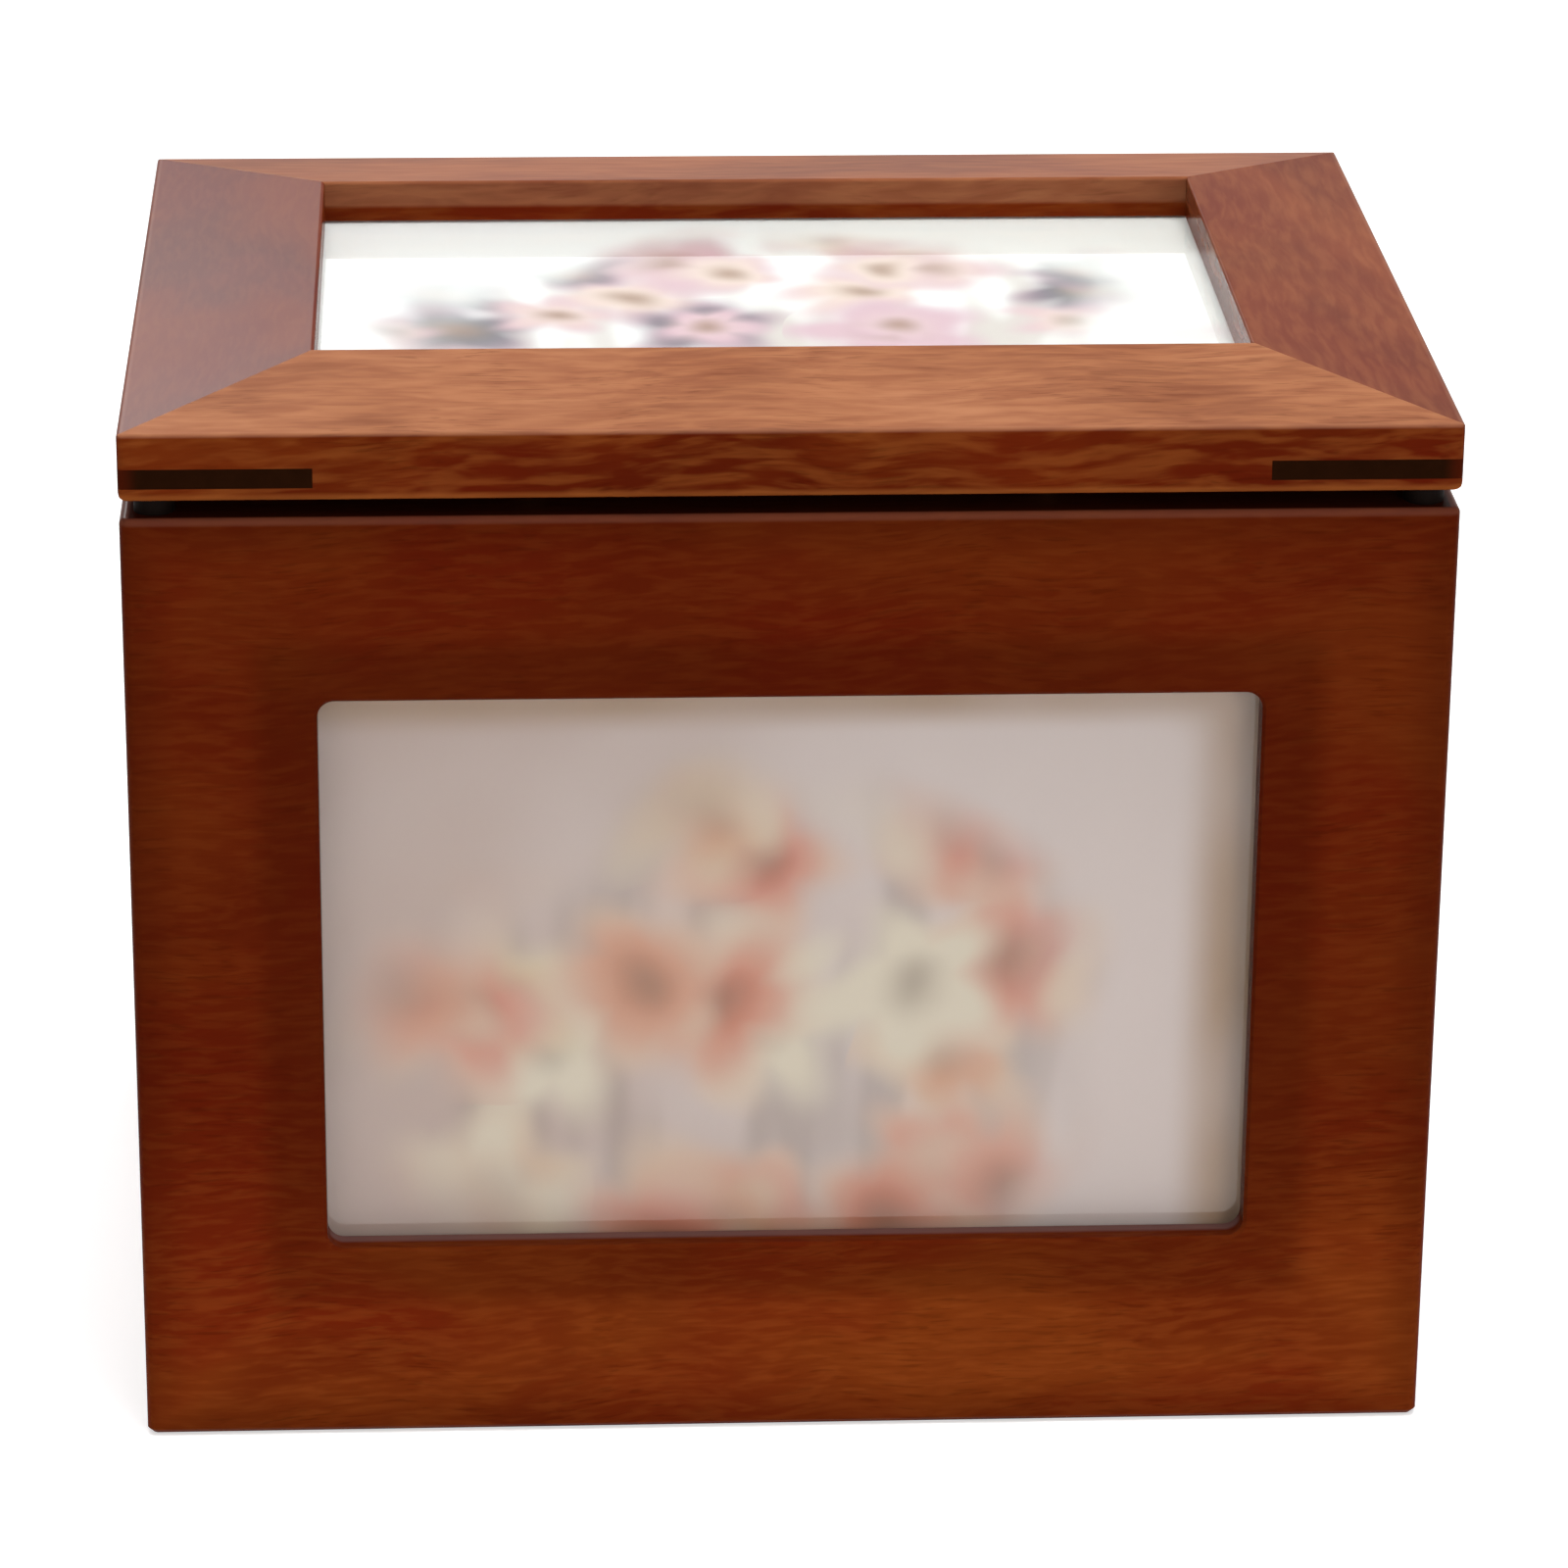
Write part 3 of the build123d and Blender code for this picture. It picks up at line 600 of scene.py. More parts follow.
def flower_bed(tree, plane, haze, view):
    """Share of the flowers' bed: an oval that the haze frays."""
    bed = add(tree, "ShaderNodeVectorMath", {0: plane, 1: view.middle}, operation="SUBTRACT")
    bed = add(tree, "ShaderNodeVectorMath", {
        0: bed, 1: (1 / view.spread[0], 1 / view.spread[1], 0.0)
    }, operation="MULTIPLY")
    away = add(tree, "ShaderNodeVectorMath", {0: bed}, operation="LENGTH")
    loose = add(tree, "ShaderNodeMath", {
        0: haze, 1: BED_RAGGED, 2: away.outputs["Value"]
    }, operation="MULTIPLY_ADD")
    return add(tree, "ShaderNodeMapRange", {
        "Value": loose, "From Min": BED_EDGE[0], "From Max": BED_EDGE[1]
    }, interpolation_type="SMOOTHSTEP")


def backdrop(tree, plane, across, haze, bed, view):
    """Hazy backdrop that grows lighter to the right, with blurred stems in the flowers' bed."""
    stretched = add(tree, "ShaderNodeVectorMath", {0: plane, 1: STALK_STRETCH}, operation="MULTIPLY")
    stalks = add(tree, "ShaderNodeTexNoise", {"Vector": stretched, "Scale": 1.0, "Detail": 1.0})
    shade = add(tree, "ShaderNodeMapRange", {
        "Value": stalks, "From Min": 0.42, "From Max": 0.64, "To Max": view.stems
    }, interpolation_type="SMOOTHSTEP")
    shade = add(tree, "ShaderNodeMath", {0: shade, 1: bed}, operation="MULTIPLY")
    drift = add(tree, "ShaderNodeMapRange", {
        "Value": across, "From Min": -DRIFT, "From Max": DRIFT
    }, interpolation_type="SMOOTHSTEP")
    drift = add(tree, "ShaderNodeMath", {0: drift, 1: haze}, operation="ADD")
    drift = add(tree, "ShaderNodeMapRange", {
        "Value": drift, "From Min": 0.3, "From Max": 1.3
    }, interpolation_type="SMOOTHSTEP")
    tone = add(tree, "ShaderNodeMix", {0: drift, 6: view.ground[0], 7: view.ground[1]}, data_type="RGBA")
    return add(tree, "ShaderNodeMix", {0: shade, 6: tone.outputs[2], 7: view.stem}, data_type="RGBA")


def flower_colour(tree, chance, heart, view):
    """Colour of a flower, paler towards its tips and darker in its heart."""
    petal = add(tree, "ShaderNodeValToRGB", {0: chance.outputs[0]}, stops=view.petals)
    tips = add(tree, "ShaderNodeMapRange", {
        "Value": heart, "From Min": 0.1, "From Max": 0.4, "To Max": 0.6
    }, interpolation_type="SMOOTHSTEP")
    petal = add(tree, "ShaderNodeMix", {0: tips, 6: petal, 7: view.pale}, data_type="RGBA")
    hollow = add(tree, "ShaderNodeMapRange", {
        "Value": heart, "From Min": 0.2, "From Max": 0.0, "To Max": view.hearts
    }, interpolation_type="SMOOTHSTEP")
    return add(tree, "ShaderNodeMix", {0: hollow, 6: petal.outputs[2], 7: view.heart}, data_type="RGBA")


def painted_edge_shade_share(tree, plane, haze, view):
    """Share of the painted shade and wood reflection along the picture's right and top edge, uneven with the
    haze.
    """
    offset = add(tree, "ShaderNodeVectorMath", {0: plane, 1: EDGE_SHIFT}, operation="SUBTRACT")
    offset = add(tree, "ShaderNodeVectorMath", {
        0: offset, 1: (2 / PRINT_SIZE[0], 2 / PRINT_SIZE[1], 0.0)
    }, operation="MULTIPLY")
    rim = add(tree, "ShaderNodeSeparateXYZ", {0: offset})
    rim = add(tree, "ShaderNodeMath", {
        0: rim.outputs[0], 1: rim.outputs[1], 2: EDGE_BLEND
    }, operation="SMOOTH_MAX")
    painted_edge_shade = add(tree, "ShaderNodeMapRange", {
        "Value": rim, "From Min": EDGE_REACH[0], "From Max": EDGE_REACH[1], "To Max": view.edges
    }, interpolation_type="SMOOTHSTEP")
    uneven = add(tree, "ShaderNodeMapRange", {
        "Value": haze, "From Min": 0.35, "From Max": 0.65, "To Min": 0.7, "To Max": 1.1
    })
    return add(tree, "ShaderNodeMath", {0: painted_edge_shade, 1: uneven}, operation="MULTIPLY")


def picture(name, view):
    """Glossy photographic paper, its dyes under a smooth clear layer that gives a low even gloss."""
    material, tree = new_material(name)
    plane, across = print_plane(tree, name, view.axes)
    haze = add(tree, "ShaderNodeTexNoise", {"Vector": plane, "Scale": 1 / HAZE_SIZE, "Detail": 1.0})
    bed = flower_bed(tree, plane, haze, view)
    tone = backdrop(tree, plane, across, haze, bed, view)
    for cell, reach, start in view.clusters:
        cover, chance, heart = blossoms(tree, plane, cell, reach, start)
        petal = flower_colour(tree, chance, heart, view)
        shown = add(tree, "ShaderNodeMath", {0: cover, 1: bed}, operation="MULTIPLY")
        tone = add(tree, "ShaderNodeMix", {
            0: shown, 6: tone.outputs[2], 7: petal.outputs[2]
        }, data_type="RGBA")
    # Painted shade and reflection of the window's wooden lip on the print
    painted_edge_shade = painted_edge_shade_share(tree, plane, haze, view)
    tone = add(tree, "ShaderNodeMix", {0: painted_edge_shade, 6: tone.outputs[2], 7: view.edge}, data_type="RGBA")
    speckle = add(tree, "ShaderNodeTexNoise", {"Vector": plane, "Scale": 0.3, "Detail": 1.0})
    gloss = add(tree, "ShaderNodeMapRange", {"Value": speckle, "To Min": 0.26, "To Max": 0.34})
    surface(tree, {"Base Color": tone.outputs[2], "Roughness": gloss, "IOR": 1.48})
    return material


def float_glass(name):
    """Clear float glass, 2 mm. It shows what is behind it and mirrors bright things at a low angle.
    Lamps and the room light the print through it. Faint wiping marks dull its gloss a little."""
    material, tree = new_material(name)
    place = add(tree, "ShaderNodeTexCoord")
    wiped_and_painted_sheen = add(tree, "ShaderNodeTexNoise", {
        "Vector": place.outputs["Object"], "Scale": 90.0, "Detail": 4.0, "Distortion": 1.0
    })
    gloss = add(tree, "ShaderNodeMapRange", {
        "Value": wiped_and_painted_sheen, "From Min": 0.5, "From Max": 1.0, "To Max": 0.01
    })
    clear = add(tree, "ShaderNodeBsdfPrincipled", {
        "Base Color": linear("#FDFEFD"), "Roughness": gloss, "IOR": 1.52, "Transmission Weight": 1.0
    })
    through = add(tree, "ShaderNodeBsdfTransparent", {"Color": linear("#FAFCFB")})
    ray = add(tree, "ShaderNodeLightPath")
    mixed = add(tree, "ShaderNodeMixShader", {0: ray.outputs["Is Shadow Ray"], 1: clear, 2: through})
    mixed = add(tree, "ShaderNodeMixShader", {0: ray.outputs["Is Diffuse Ray"], 1: mixed, 2: through})
    add(tree, "ShaderNodeOutputMaterial", {"Surface": mixed})
    return material


# ---- Metal, rubber, board and felt ----------------------------------------------------------------

def stamped_brass(name, look):
    """Brass stamped from sheet and tumbled. Its gloss is soft, with fine scratches every way and a
    brown bloom where it was handled."""
    material, tree = new_material(name)
    grid = millimetres(tree)
    bloom_and_painted_sheen = add(tree, "ShaderNodeTexNoise", {"Vector": grid, "Scale": 0.4, "Detail": 4.0})
    lines = add(tree, "ShaderNodeVectorMath", {0: grid, 1: (0.4, 5.0, 5.0)}, operation="MULTIPLY")
    scratch = add(tree, "ShaderNodeTexNoise", {
        "Vector": lines, "Scale": 1.0, "Detail": 2.0, "Distortion": 0.4
    })
    brown = add(tree, "ShaderNodeMapRange", {
        "Value": bloom_and_painted_sheen, "From Min": 0.45, "From Max": 0.75, "To Max": 0.6
    }, interpolation_type="SMOOTHSTEP")
    tone = add(tree, "ShaderNodeMix", {0: brown, 6: look.brass, 7: look.tarnish}, data_type="RGBA")
    gloss = add(tree, "ShaderNodeMapRange", {"Value": scratch, "To Min": 0.2, "To Max": 0.42})
    relief = add(tree, "ShaderNodeBump", {"Strength": 0.15, "Distance": 0.02 / MM, "Height": scratch})
    surface(tree, {"Base Color": tone.outputs[2], "Metallic": 1.0, "Roughness": gloss, "Normal": relief})
    return material


def moulded_rubber(name, look):
    """Synthetic rubber moulded in a bead-blasted tool: dull, with a fine even grain."""
    material, tree = new_material(name)
    place = add(tree, "ShaderNodeTexCoord")
    grain = add(tree, "ShaderNodeTexNoise", {
        "Vector": place.outputs["Object"], "Scale": 4000.0, "Detail": 2.0
    })
    tone = add(tree, "ShaderNodeMix", {0: grain, 6: look.rubber, 7: linear("#160C08")}, data_type="RGBA")
    gloss = add(tree, "ShaderNodeMapRange", {"Value": grain, "To Min": 0.55, "To Max": 0.75})
    relief = add(tree, "ShaderNodeBump", {"Strength": 0.3, "Distance": 0.05 / MM, "Height": grain})
    surface(tree, {
        "Base Color": tone.outputs[2], "Roughness": gloss, "Specular IOR Level": 0.05, "Normal": relief
    })
    return material


def fibre_board(name, look):
    """Pressed fibre board, sawn: dull brown, with short paler and darker fibres in every direction."""
    material, tree = new_material(name)
    grid = millimetres(tree)
    fibres = add(tree, "ShaderNodeTexNoise", {"Vector": grid, "Scale": 1.2, "Detail": 5.0, "Distortion": 2.5})
    mottle = add(tree, "ShaderNodeTexNoise", {"Vector": grid, "Scale": 0.08, "Detail": 2.0})
    share = add(tree, "ShaderNodeMapRange", {"Value": fibres, "From Min": 0.35, "From Max": 0.7})
    tone = add(tree, "ShaderNodeMix", {0: share, 6: look.board, 7: linear("#4E3A28")}, data_type="RGBA")
    tone = add(tree, "ShaderNodeMix", {
        0: mottle, 6: tone.outputs[2], 7: linear("#8A7055")
    }, data_type="RGBA")
    gloss = add(tree, "ShaderNodeMapRange", {"Value": fibres, "To Min": 0.78, "To Max": 0.95})
    relief = add(tree, "ShaderNodeBump", {"Strength": 0.4, "Distance": 0.1 / MM, "Height": fibres})
    surface(tree, {"Base Color": tone.outputs[2], "Roughness": gloss, "Normal": relief})
    return material


def pressed_felt(name, colour, pale):
    """Wool and viscose felt, needled and pressed: matt, with a tangle of single fibres 0.1 mm thick,
    drawn 0.4 mm so that they show, and a faint sheen of standing hairs at a low angle."""
    material, tree = new_material(name)
    grid = millimetres(tree)
    tangle = add(tree, "ShaderNodeTexNoise", {"Vector": grid, "Scale": 1.6, "Detail": 5.0, "Distortion": 3.0})
    nap = add(tree, "ShaderNodeTexNoise", {"Vector": grid, "Scale": 0.12, "Detail": 2.0})
    hairs = add(tree, "ShaderNodeMapRange", {
        "Value": tangle, "From Min": 0.45, "From Max": 0.75
    }, interpolation_type="SMOOTHSTEP")
    tone = add(tree, "ShaderNodeMix", {0: hairs, 6: colour, 7: pale}, data_type="RGBA")
    brushed = add(tree, "ShaderNodeMapRange", {"Value": nap, "To Min": 0.82, "To Max": 1.12})
    lit = add(tree, "ShaderNodeVectorMath", {0: tone.outputs[2], "Scale": brushed}, operation="SCALE")
    relief = add(tree, "ShaderNodeBump", {"Strength": 0.6, "Distance": 0.2 / MM, "Height": tangle})
    surface(tree, {
        "Base Color": lit,
        "Roughness": 0.95,
        "Specular IOR Level": 0.1,
        "Sheen Weight": 0.12,
        "Sheen Roughness": 0.6,
        "Normal": relief,
    })
    return material


FELT_SEED = 4
FELT_LUMPS = 60.0                    # of its faces' unevenness, to a metre
FELT_PRESS = 0.06                    # of its thickness, how deep the lumps are
FELT_FACES = 4000.0                  # keeps the lumps of the two faces apart
FELT_WAVERS = 200.0                  # of its cut edges, to a metre
FELT_TRIM = 0.0012                   # of its size, how far the edges waver inwards
FELT_CELLS = {"floor": 0.004, "board": 0.005}  # m, mesh of the felts in the case and on the boards


def felt_sheet(node, body, cell, look, material):
    """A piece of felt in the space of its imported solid: cut edges rounded, faces slightly uneven."""
    low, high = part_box(node)
    size = high - low
    thin = min(range(3), key=lambda i: size[i])
    wide, tall = [i for i in range(3) if i != thin]
    shape = bmesh.new()
    bmesh.ops.create_grid(
        shape, x_segments=round(size[wide] / cell), y_segments=round(size[tall] / cell), size=0.5
    )
    sides = bmesh.ops.extrude_face_region(shape, geom=shape.faces[:])
    for corner in sides["geom"]:
        if isinstance(corner, bmesh.types.BMVert):
            corner.co.z = 1.0
    for corner in shape.verts:
        corner.co = Vector((corner.co.x * size[wide], corner.co.y * size[tall], corner.co.z * size[thin]))
    bmesh.ops.recalc_face_normals(shape, faces=shape.faces[:])
    rims = [e for e in shape.edges if e.calc_face_angle(0.0) > QUARTER_TURN / 2]
    rounding = min(look.felt_edge, size[thin] * 0.3)
    bmesh.ops.bevel(shape, geom=rims, offset=rounding, segments=2, affect="EDGES", profile=0.5)
    middle = (low + high) / 2
    for corner in shape.verts:
        flat = Vector((corner.co.x, corner.co.y, 0.0))
        spread = Vector((FELT_SEED, 0.0, corner.co.z * FELT_FACES))
        lump = 0.5 + 0.5 * noise.noise(flat * FELT_LUMPS + spread)
        press = FELT_PRESS * size[thin] * lump
        depth = corner.co.z - press if corner.co.z > size[thin] / 2 else corner.co.z + press
        waver = 1.0 - FELT_TRIM * (0.5 + 0.5 * noise.noise(flat * FELT_WAVERS))
        spot = [0.0, 0.0, 0.0]
        spot[wide] = middle[wide] + corner.co.x * waver
        spot[tall] = middle[tall] + corner.co.y * waver
        spot[thin] = low[thin] + depth
        corner.co = spot
    if thin == 1:
        bmesh.ops.reverse_faces(shape, faces=shape.faces[:])
    made = bpy.data.meshes.new(f"{node}_cloth")
    shape.to_mesh(made)
    shape.free()
    made.materials.append(material)
    made.shade_smooth()
    piece = bpy.data.objects.new(f"{node}_cloth", made)
    bpy.context.scene.collection.objects.link(piece)
    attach(piece, body)
    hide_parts(node)
    return piece


# ---- Operators ------------------------------------------------------------------------------------

class FinishCaseWalls(bpy.types.Operator):
    """Stain and lacquer the four boards of the case"""

    bl_idname = "photobox.case_walls"
    bl_label = "Finish case walls"

    def execute(self, context):
        look = context.scene.photobox_wood
        for board in ("front_panel", "back_panel", "left_side", "right_side"):
            dress([board], stained_hardwood(f"stained_hardwood_{board}", board, look))
        return {"FINISHED"}


class FinishCaseFloor(bpy.types.Operator):
    """Finish the bottom board and lay the felts under it and on it"""

    bl_idname = "photobox.case_floor"
    bl_label = "Finish case floor"

    def execute(self, context):
        wood = context.scene.photobox_wood
        look = context.scene.photobox_fittings
        dress(["bottom_panel"], stained_hardwood("stained_hardwood_bottom", "bottom_panel", wood))
        under = pressed_felt("pressed_felt_base", look.base_felt, look.base_hair)
        inside = pressed_felt("pressed_felt_lining", look.lining_felt, look.lining_hair)
        cell = FELT_CELLS["floor"]
        felt_sheet("base_felt", "case", cell, look, under)
        felt_sheet("floor_lining", "case", cell, look, inside)
        return {"FINISHED"}


class FinishLidFrame(bpy.types.Operator):
    """Stain and lacquer the four members of the lid"""

    bl_idname = "photobox.lid_frame"
    bl_label = "Finish lid frame"

    def execute(self, context):
        look = context.scene.photobox_wood
        for board in ("lid_front_rail", "lid_back_rail", "lid_left_stile", "lid_right_stile"):
            dress([board], stained_hardwood(f"stained_hardwood_{board}", board, look))
        return {"FINISHED"}


class FinishCornerKeys(bpy.types.Operator):
    """Dye the splines in the lid's corners"""

    bl_idname = "photobox.corner_keys"
    bl_label = "Finish corner keys"

    def execute(self, context):
        keys = [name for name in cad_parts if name.startswith("lid_key_")]
        dress(keys, dyed_key("dyed_hardwood_key", context.scene.photobox_wood))
        return {"FINISHED"}


class FinishPanes(bpy.types.Operator):
    """Make the two panes clear glass"""

    bl_idname = "photobox.panes"
    bl_label = "Finish panes"

    def execute(self, context):
        dress(["front_glass", "lid_glass"], float_glass("clear_float_glass"))
        return {"FINISHED"}


class PrintFrontPicture(bpy.types.Operator):
    """Print the generic picture behind the front window"""

    bl_idname = "photobox.front_picture"
    bl_label = "Print front picture"

    def execute(self, context):
        look = context.scene.photobox_prints
        paper = picture("front_print", Picture(
            axes=(0, 2),
            ground=(look.ground, look.light),
            petals=[(0.0, look.coral), (0.35, look.yellow), (0.6, look.coral), (0.8, look.cream)],
            pale=look.cream,
            heart=look.stem,
            hearts=0.45,
            stem=look.stem,
            stems=0.35,
            clusters=[
                (36.0, 0.38, (40.0, 11.0, 0.0)),
                (33.0, 0.38, (7.0, 3.0, 0.0)),
                (42.0, 0.38, (91.0, 40.0, 0.0)),
                (37.0, 0.38, (57.0, 75.0, 0.0)),
            ],
            middle=(-3.0, -15.0, 0.0),
            spread=(56.0, 43.0),
            edge=look.painted_edge_shade,
            edges=0.66,
        ))
        dress(["front_print"], paper)
        return {"FINISHED"}


class PrintLidPicture(bpy.types.Operator):
    """Print the generic picture behind the lid's window"""

    bl_idname = "photobox.lid_picture"
    bl_label = "Print lid picture"

    def execute(self, context):
        look = context.scene.photobox_prints
        paper = picture("lid_print", Picture(
            axes=(0, 1),
            ground=(linear("#FDFDFD"), linear("#FBFBF8")),
            petals=[(0.0, look.pink), (0.5, look.cream), (0.68, look.pink), (0.84, look.slate)],
            pale=look.pink,
            heart=look.gold,
            hearts=0.75,
            stem=look.gold,
            stems=0.4,
            clusters=[
                (34.0, 0.36, (19.0, 61.0, 0.0)),
                (40.0, 0.36, (53.0, 12.0, 0.0)),
                (26.0, 0.36, (5.0, 33.0, 0.0)),
            ],
            middle=(4.0, -8.0, 0.0),
            spread=(60.0, 44.0),
            edge=look.cream,
            edges=0.0,
        ))
        dress(["lid_print"], paper)
        return {"FINISHED"}


class FinishBacking(bpy.types.Operator):
    """Finish the backing boards and face them with felt"""

    bl_idname = "photobox.backing"
    bl_label = "Finish backing"

    def execute(self, context):
        look = context.scene.photobox_fittings
        dress(["front_backing_board", "lid_backing_board"], fibre_board("pressed_fibre_board", look))
        facing = pressed_felt("pressed_felt_facing", look.lining_felt, look.lining_hair)
        cell = FELT_CELLS["board"]
        felt_sheet("front_backing_felt", "case", cell, look, facing)
        felt_sheet("lid_backing_felt", "lid", cell, look, facing)
        return {"FINISHED"}


class FinishBrass(bpy.types.Operator):
    """Finish the hinges, turn buttons and screws"""

    bl_idname = "photobox.brass"
    bl_label = "Finish brass"

    def execute(self, context):
        look = context.scene.photobox_fittings
        screws = [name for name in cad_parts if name.endswith("_screws")]
        dress(screws, stamped_brass("turned_brass_screw", look))
        for part, finish in {"hinge_": "stamped_brass_hinge", "_button_": "stamped_brass_button"}.items():
            names = [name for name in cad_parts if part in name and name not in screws]
            dress(names, stamped_brass(finish, look))
        return {"FINISHED"}


class FinishBumpers(bpy.types.Operator):
    """Finish the rubber dots on the rim"""

    bl_idname = "photobox.bumpers"
    bl_label = "Finish bumpers"

    def execute(self, context):
        dress(["rim_bumpers"], moulded_rubber("moulded_rubber_bumper", context.scene.photobox_fittings))
        return {"FINISHED"}


# ---- Stage ----------------------------------------------------------------------------------------

class Softbox(NamedTuple):
    """Where a softbox stands, what it points at and how wide and tall it is, in metres."""

    place: tuple
    aim: tuple
    size: tuple
    mirrored: bool = True     # in gloss and glass


# The one overhead isn't mirrored, so that the lid's picture shows through its glass from above
SOFTBOXES = {
    "top": Softbox((0.1, -0.1, 1.4), (0.0, 0.0, 0.08), (1.1, 1.1), mirrored=False),
    "back": Softbox((-0.4, 1.4, 0.8), (-0.4, 0.0, 0.1), (0.8, 0.8)),
    "front": Softbox((0.8, -1.7, 0.5), (0.0, 0.0, 0.08), (1.2, 0.8)),
}
SOFTBOX_CORE = 0.3            # of its half width: the part that shines in full
FLOOR_SIZE = 30.0             # m
FLOOR_DROP = 0.0002           # m, so that the base felt lies clear of the floor
FLOOR_FADE = (0.35, 1.2)      # m from the box's middle, where the floor starts to whiten and is white
FLOOR_GLOW = 0.54             # added to the floor for the camera and for gloss, so that it looks white
FILM_WIDTH = 36.0             # mm


def softbox(name, box, power):
    """A softbox that fades towards its edges and isn't seen by the camera."""
    lamp = bpy.data.lights.new(name, "AREA")
    lamp.shape = "RECTANGLE"
    lamp.size, lamp.size_y = box.size
    lamp.energy = power
    lamp.use_nodes = True
    tree = lamp.node_tree
    tree.nodes.clear()
    spot = add(tree, "ShaderNodeNewGeometry")
    away = add(tree, "ShaderNodeVectorMath", {
        0: spot.outputs["Parametric"], 1: (2.0, 2.0, 0.0), 2: (-1.0, -1.0, 0.0)
    }, operation="MULTIPLY_ADD")
    away = add(tree, "ShaderNodeVectorMath", {0: away}, operation="LENGTH")
    level = add(tree, "ShaderNodeMapRange", {
        "Value": away.outputs["Value"], "From Min": 1.0, "From Max": SOFTBOX_CORE
    }, interpolation_type="SMOOTHSTEP")
    glow = add(tree, "ShaderNodeEmission", {"Color": linear("#FFFFFF"), "Strength": level})
    add(tree, "ShaderNodeOutputLight", {"Surface": glow})
    made = bpy.data.objects.new(name, lamp)
    bpy.context.scene.collection.objects.link(made)
    made.location = box.place
    made.rotation_euler = (Vector(box.aim) - Vector(box.place)).to_track_quat("-Z", "Y").to_euler()
    made.visible_camera = False
    made.visible_glossy = box.mirrored
    return made


def seen_directly(tree, ray):
    """1 for the camera and for what shows in gloss or through glass, and 0 for light on the object."""
    seen = add(tree, "ShaderNodeMath", {
        0: ray.outputs["Is Camera Ray"], 1: ray.outputs["Is Glossy Ray"]
    }, operation="MAXIMUM")
    return add(tree, "ShaderNodeMath", {0: seen, 1: ray.outputs["Is Transmission Ray"]}, operation="MAXIMUM")


def room_world(sky):
    """Even studio light, seen white by the camera and in glass and gloss."""
    made = bpy.data.worlds.new("studio_room")
    made.use_nodes = True
    tree = made.node_tree
    tree.nodes.clear()
    ray = add(tree, "ShaderNodeLightPath")
    seen = seen_directly(tree, ray)
    level = add(tree, "ShaderNodeMapRange", {"Value": seen, "To Min": sky, "To Max": 1.0})
    light = add(tree, "ShaderNodeBackground", {"Color": linear("#FFFFFF"), "Strength": level})
    add(tree, "ShaderNodeOutputWorld", {"Surface": light})
    return made


def studio_floor(colour):
    """Matt pale table. It takes the box's shadow near it and fades to plain white round about."""
    material, tree = new_material("matt_paper_floor")
    ray = add(tree, "ShaderNodeLightPath")
    seen = seen_directly(tree, ray)
    place = add(tree, "ShaderNodeTexCoord")
    away = add(tree, "ShaderNodeVectorMath", {0: place.outputs["Object"]}, operation="LENGTH")
    far = add(tree, "ShaderNodeMapRange", {
        "Value": away.outputs["Value"], "From Min": FLOOR_FADE[0], "From Max": FLOOR_FADE[1]
    }, interpolation_type="SMOOTHSTEP")
    far = add(tree, "ShaderNodeMath", {0: far, 1: ray.outputs["Is Camera Ray"]}, operation="MULTIPLY")
    glow = add(tree, "ShaderNodeMath", {0: seen, 1: FLOOR_GLOW}, operation="MULTIPLY")
    matt = add(tree, "ShaderNodeBsdfDiffuse", {"Color": colour})
    lift = add(tree, "ShaderNodeEmission", {"Color": linear("#FFFFFF"), "Strength": glow})
    near = add(tree, "ShaderNodeAddShader", {0: matt, 1: lift})
    white = add(tree, "ShaderNodeEmission", {"Color": linear("#FFFFFF"), "Strength": 1.0})
    both = add(tree, "ShaderNodeMixShader", {0: far, 1: near, 2: white})
    add(tree, "ShaderNodeOutputMaterial", {"Surface": both})
    half = FLOOR_SIZE / 2
    sheet = bpy.data.meshes.new("studio_floor")
    sheet.from_pydata(
        [(-half, -half, 0.0), (half, -half, 0.0), (half, half, 0.0), (-half, half, 0.0)], [], [(0, 1, 2, 3)]
    )
    sheet.materials.append(material)
    made = bpy.data.objects.new("studio_floor", sheet)
    made.location.z = -FLOOR_DROP
    bpy.context.scene.collection.objects.link(made)
    return made


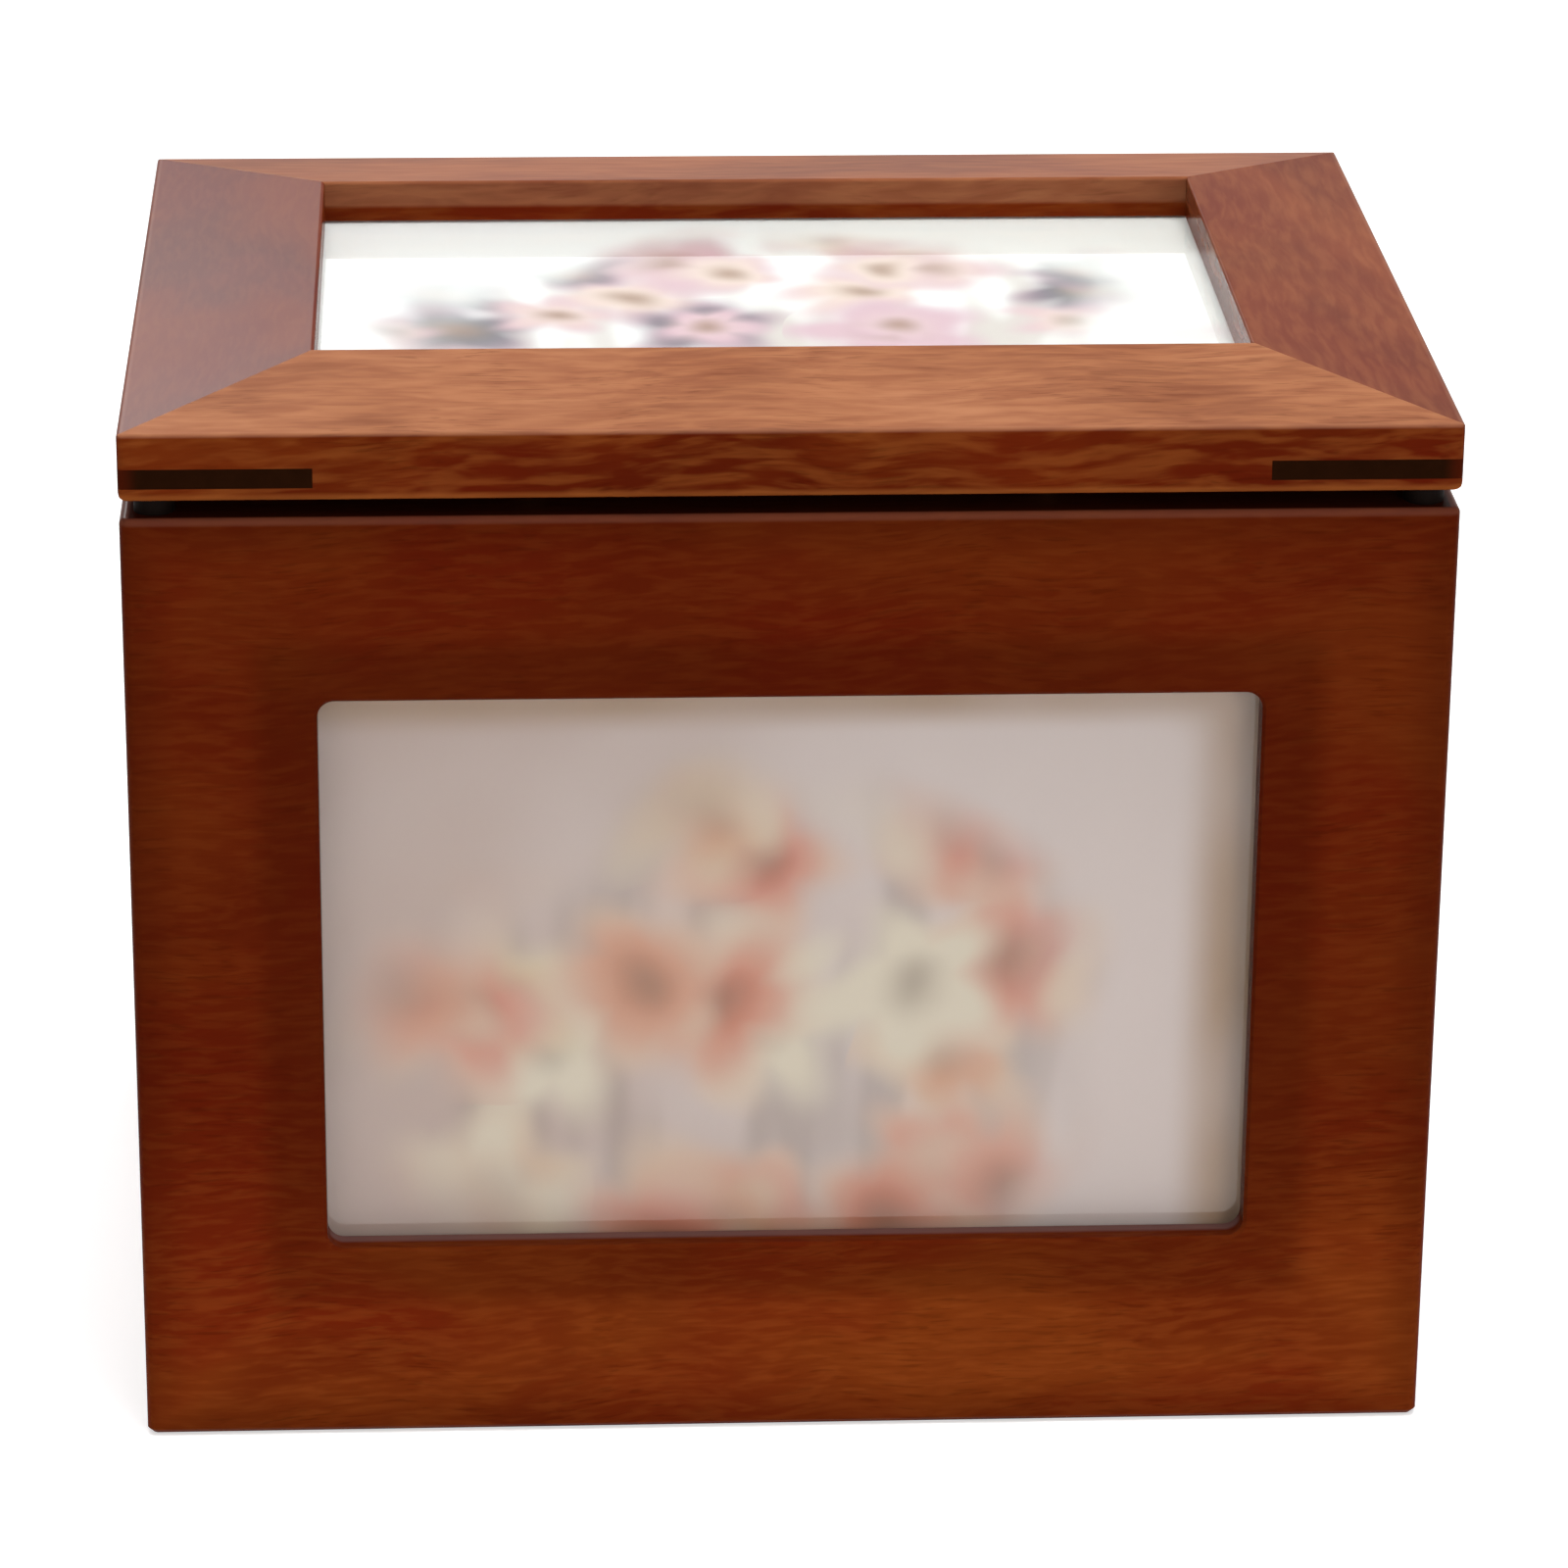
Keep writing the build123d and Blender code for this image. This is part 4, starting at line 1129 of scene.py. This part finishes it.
def studio_camera(look):
    """Camera at the photograph's viewing angle."""
    level = math.cos(look.pitch)
    sight = Vector((math.sin(look.yaw) * level, math.cos(look.yaw) * level, -math.sin(look.pitch)))
    right = Vector((math.cos(look.yaw), -math.sin(look.yaw), 0.0))
    up = right.cross(sight)
    side = right * math.cos(look.roll) + up * math.sin(look.roll)
    top = up * math.cos(look.roll) - right * math.sin(look.roll)
    lens = bpy.data.cameras.new("studio_camera")
    lens.sensor_width = FILM_WIDTH
    lens.lens = look.lens
    lens.clip_start = 0.05
    made = bpy.data.objects.new("studio_camera", lens)
    bpy.context.scene.collection.objects.link(made)
    turn = Matrix((side, top, -sight)).transposed().to_4x4()
    made.matrix_world = Matrix.Translation(Vector(look.aim) - sight * look.distance) @ turn
    bpy.context.scene.camera = made
    return made


class SetStage(bpy.types.Operator):
    """Make the floor, the lamps, the room and the camera"""

    bl_idname = "photobox.stage"
    bl_label = "Set stage"

    def execute(self, context):
        look = context.scene.photobox_stage
        scene = context.scene
        scene.view_settings.view_transform = "Standard"
        scene.world = room_world(look.sky)
        studio_floor(look.floor)
        for name, box in SOFTBOXES.items():
            softbox(f"{name}_softbox", box, getattr(look, f"{name}_lamp"))
        studio_camera(look)
        return {"FINISHED"}


OPERATORS = (
    FinishCaseWalls,
    FinishCaseFloor,
    FinishLidFrame,
    FinishCornerKeys,
    FinishPanes,
    PrintFrontPicture,
    PrintLidPicture,
    FinishBacking,
    FinishBrass,
    FinishBumpers,
    SetStage,
)


class PhotoBoxPanel(bpy.types.Panel):
    """Lists the finishes and their settings"""

    bl_idname = "VIEW3D_PT_photo_box"
    bl_label = "Photo storage box"
    bl_space_type = "VIEW_3D"
    bl_region_type = "UI"
    bl_category = "Photo box"

    def draw(self, context):
        for operator in OPERATORS:
            self.layout.operator(operator.bl_idname)
        for title, group in GROUPS.items():
            settings = getattr(context.scene, title)
            column = self.layout.column(align=True)
            for name in group.__annotations__:
                column.prop(settings, name)


GROUPS = {
    "photobox_wood": PhotoBoxWood,
    "photobox_prints": PhotoBoxPrints,
    "photobox_fittings": PhotoBoxFittings,
    "photobox_stage": PhotoBoxStage,
}
CLASSES = (*GROUPS.values(), *OPERATORS, PhotoBoxPanel)


def register():
    for item in CLASSES:
        bpy.utils.register_class(item)
    for title, group in GROUPS.items():
        setattr(bpy.types.Scene, title, PointerProperty(type=group))


def unregister():
    for title in GROUPS:
        delattr(bpy.types.Scene, title)
    for item in reversed(CLASSES):
        bpy.utils.unregister_class(item)


def main():
    """Registers the classes and finishes the box piece by piece."""
    register()
    for operator in OPERATORS:
        group, name = operator.bl_idname.split(".")
        getattr(getattr(bpy.ops, group), name)()


if __name__ == "__main__":
    main()
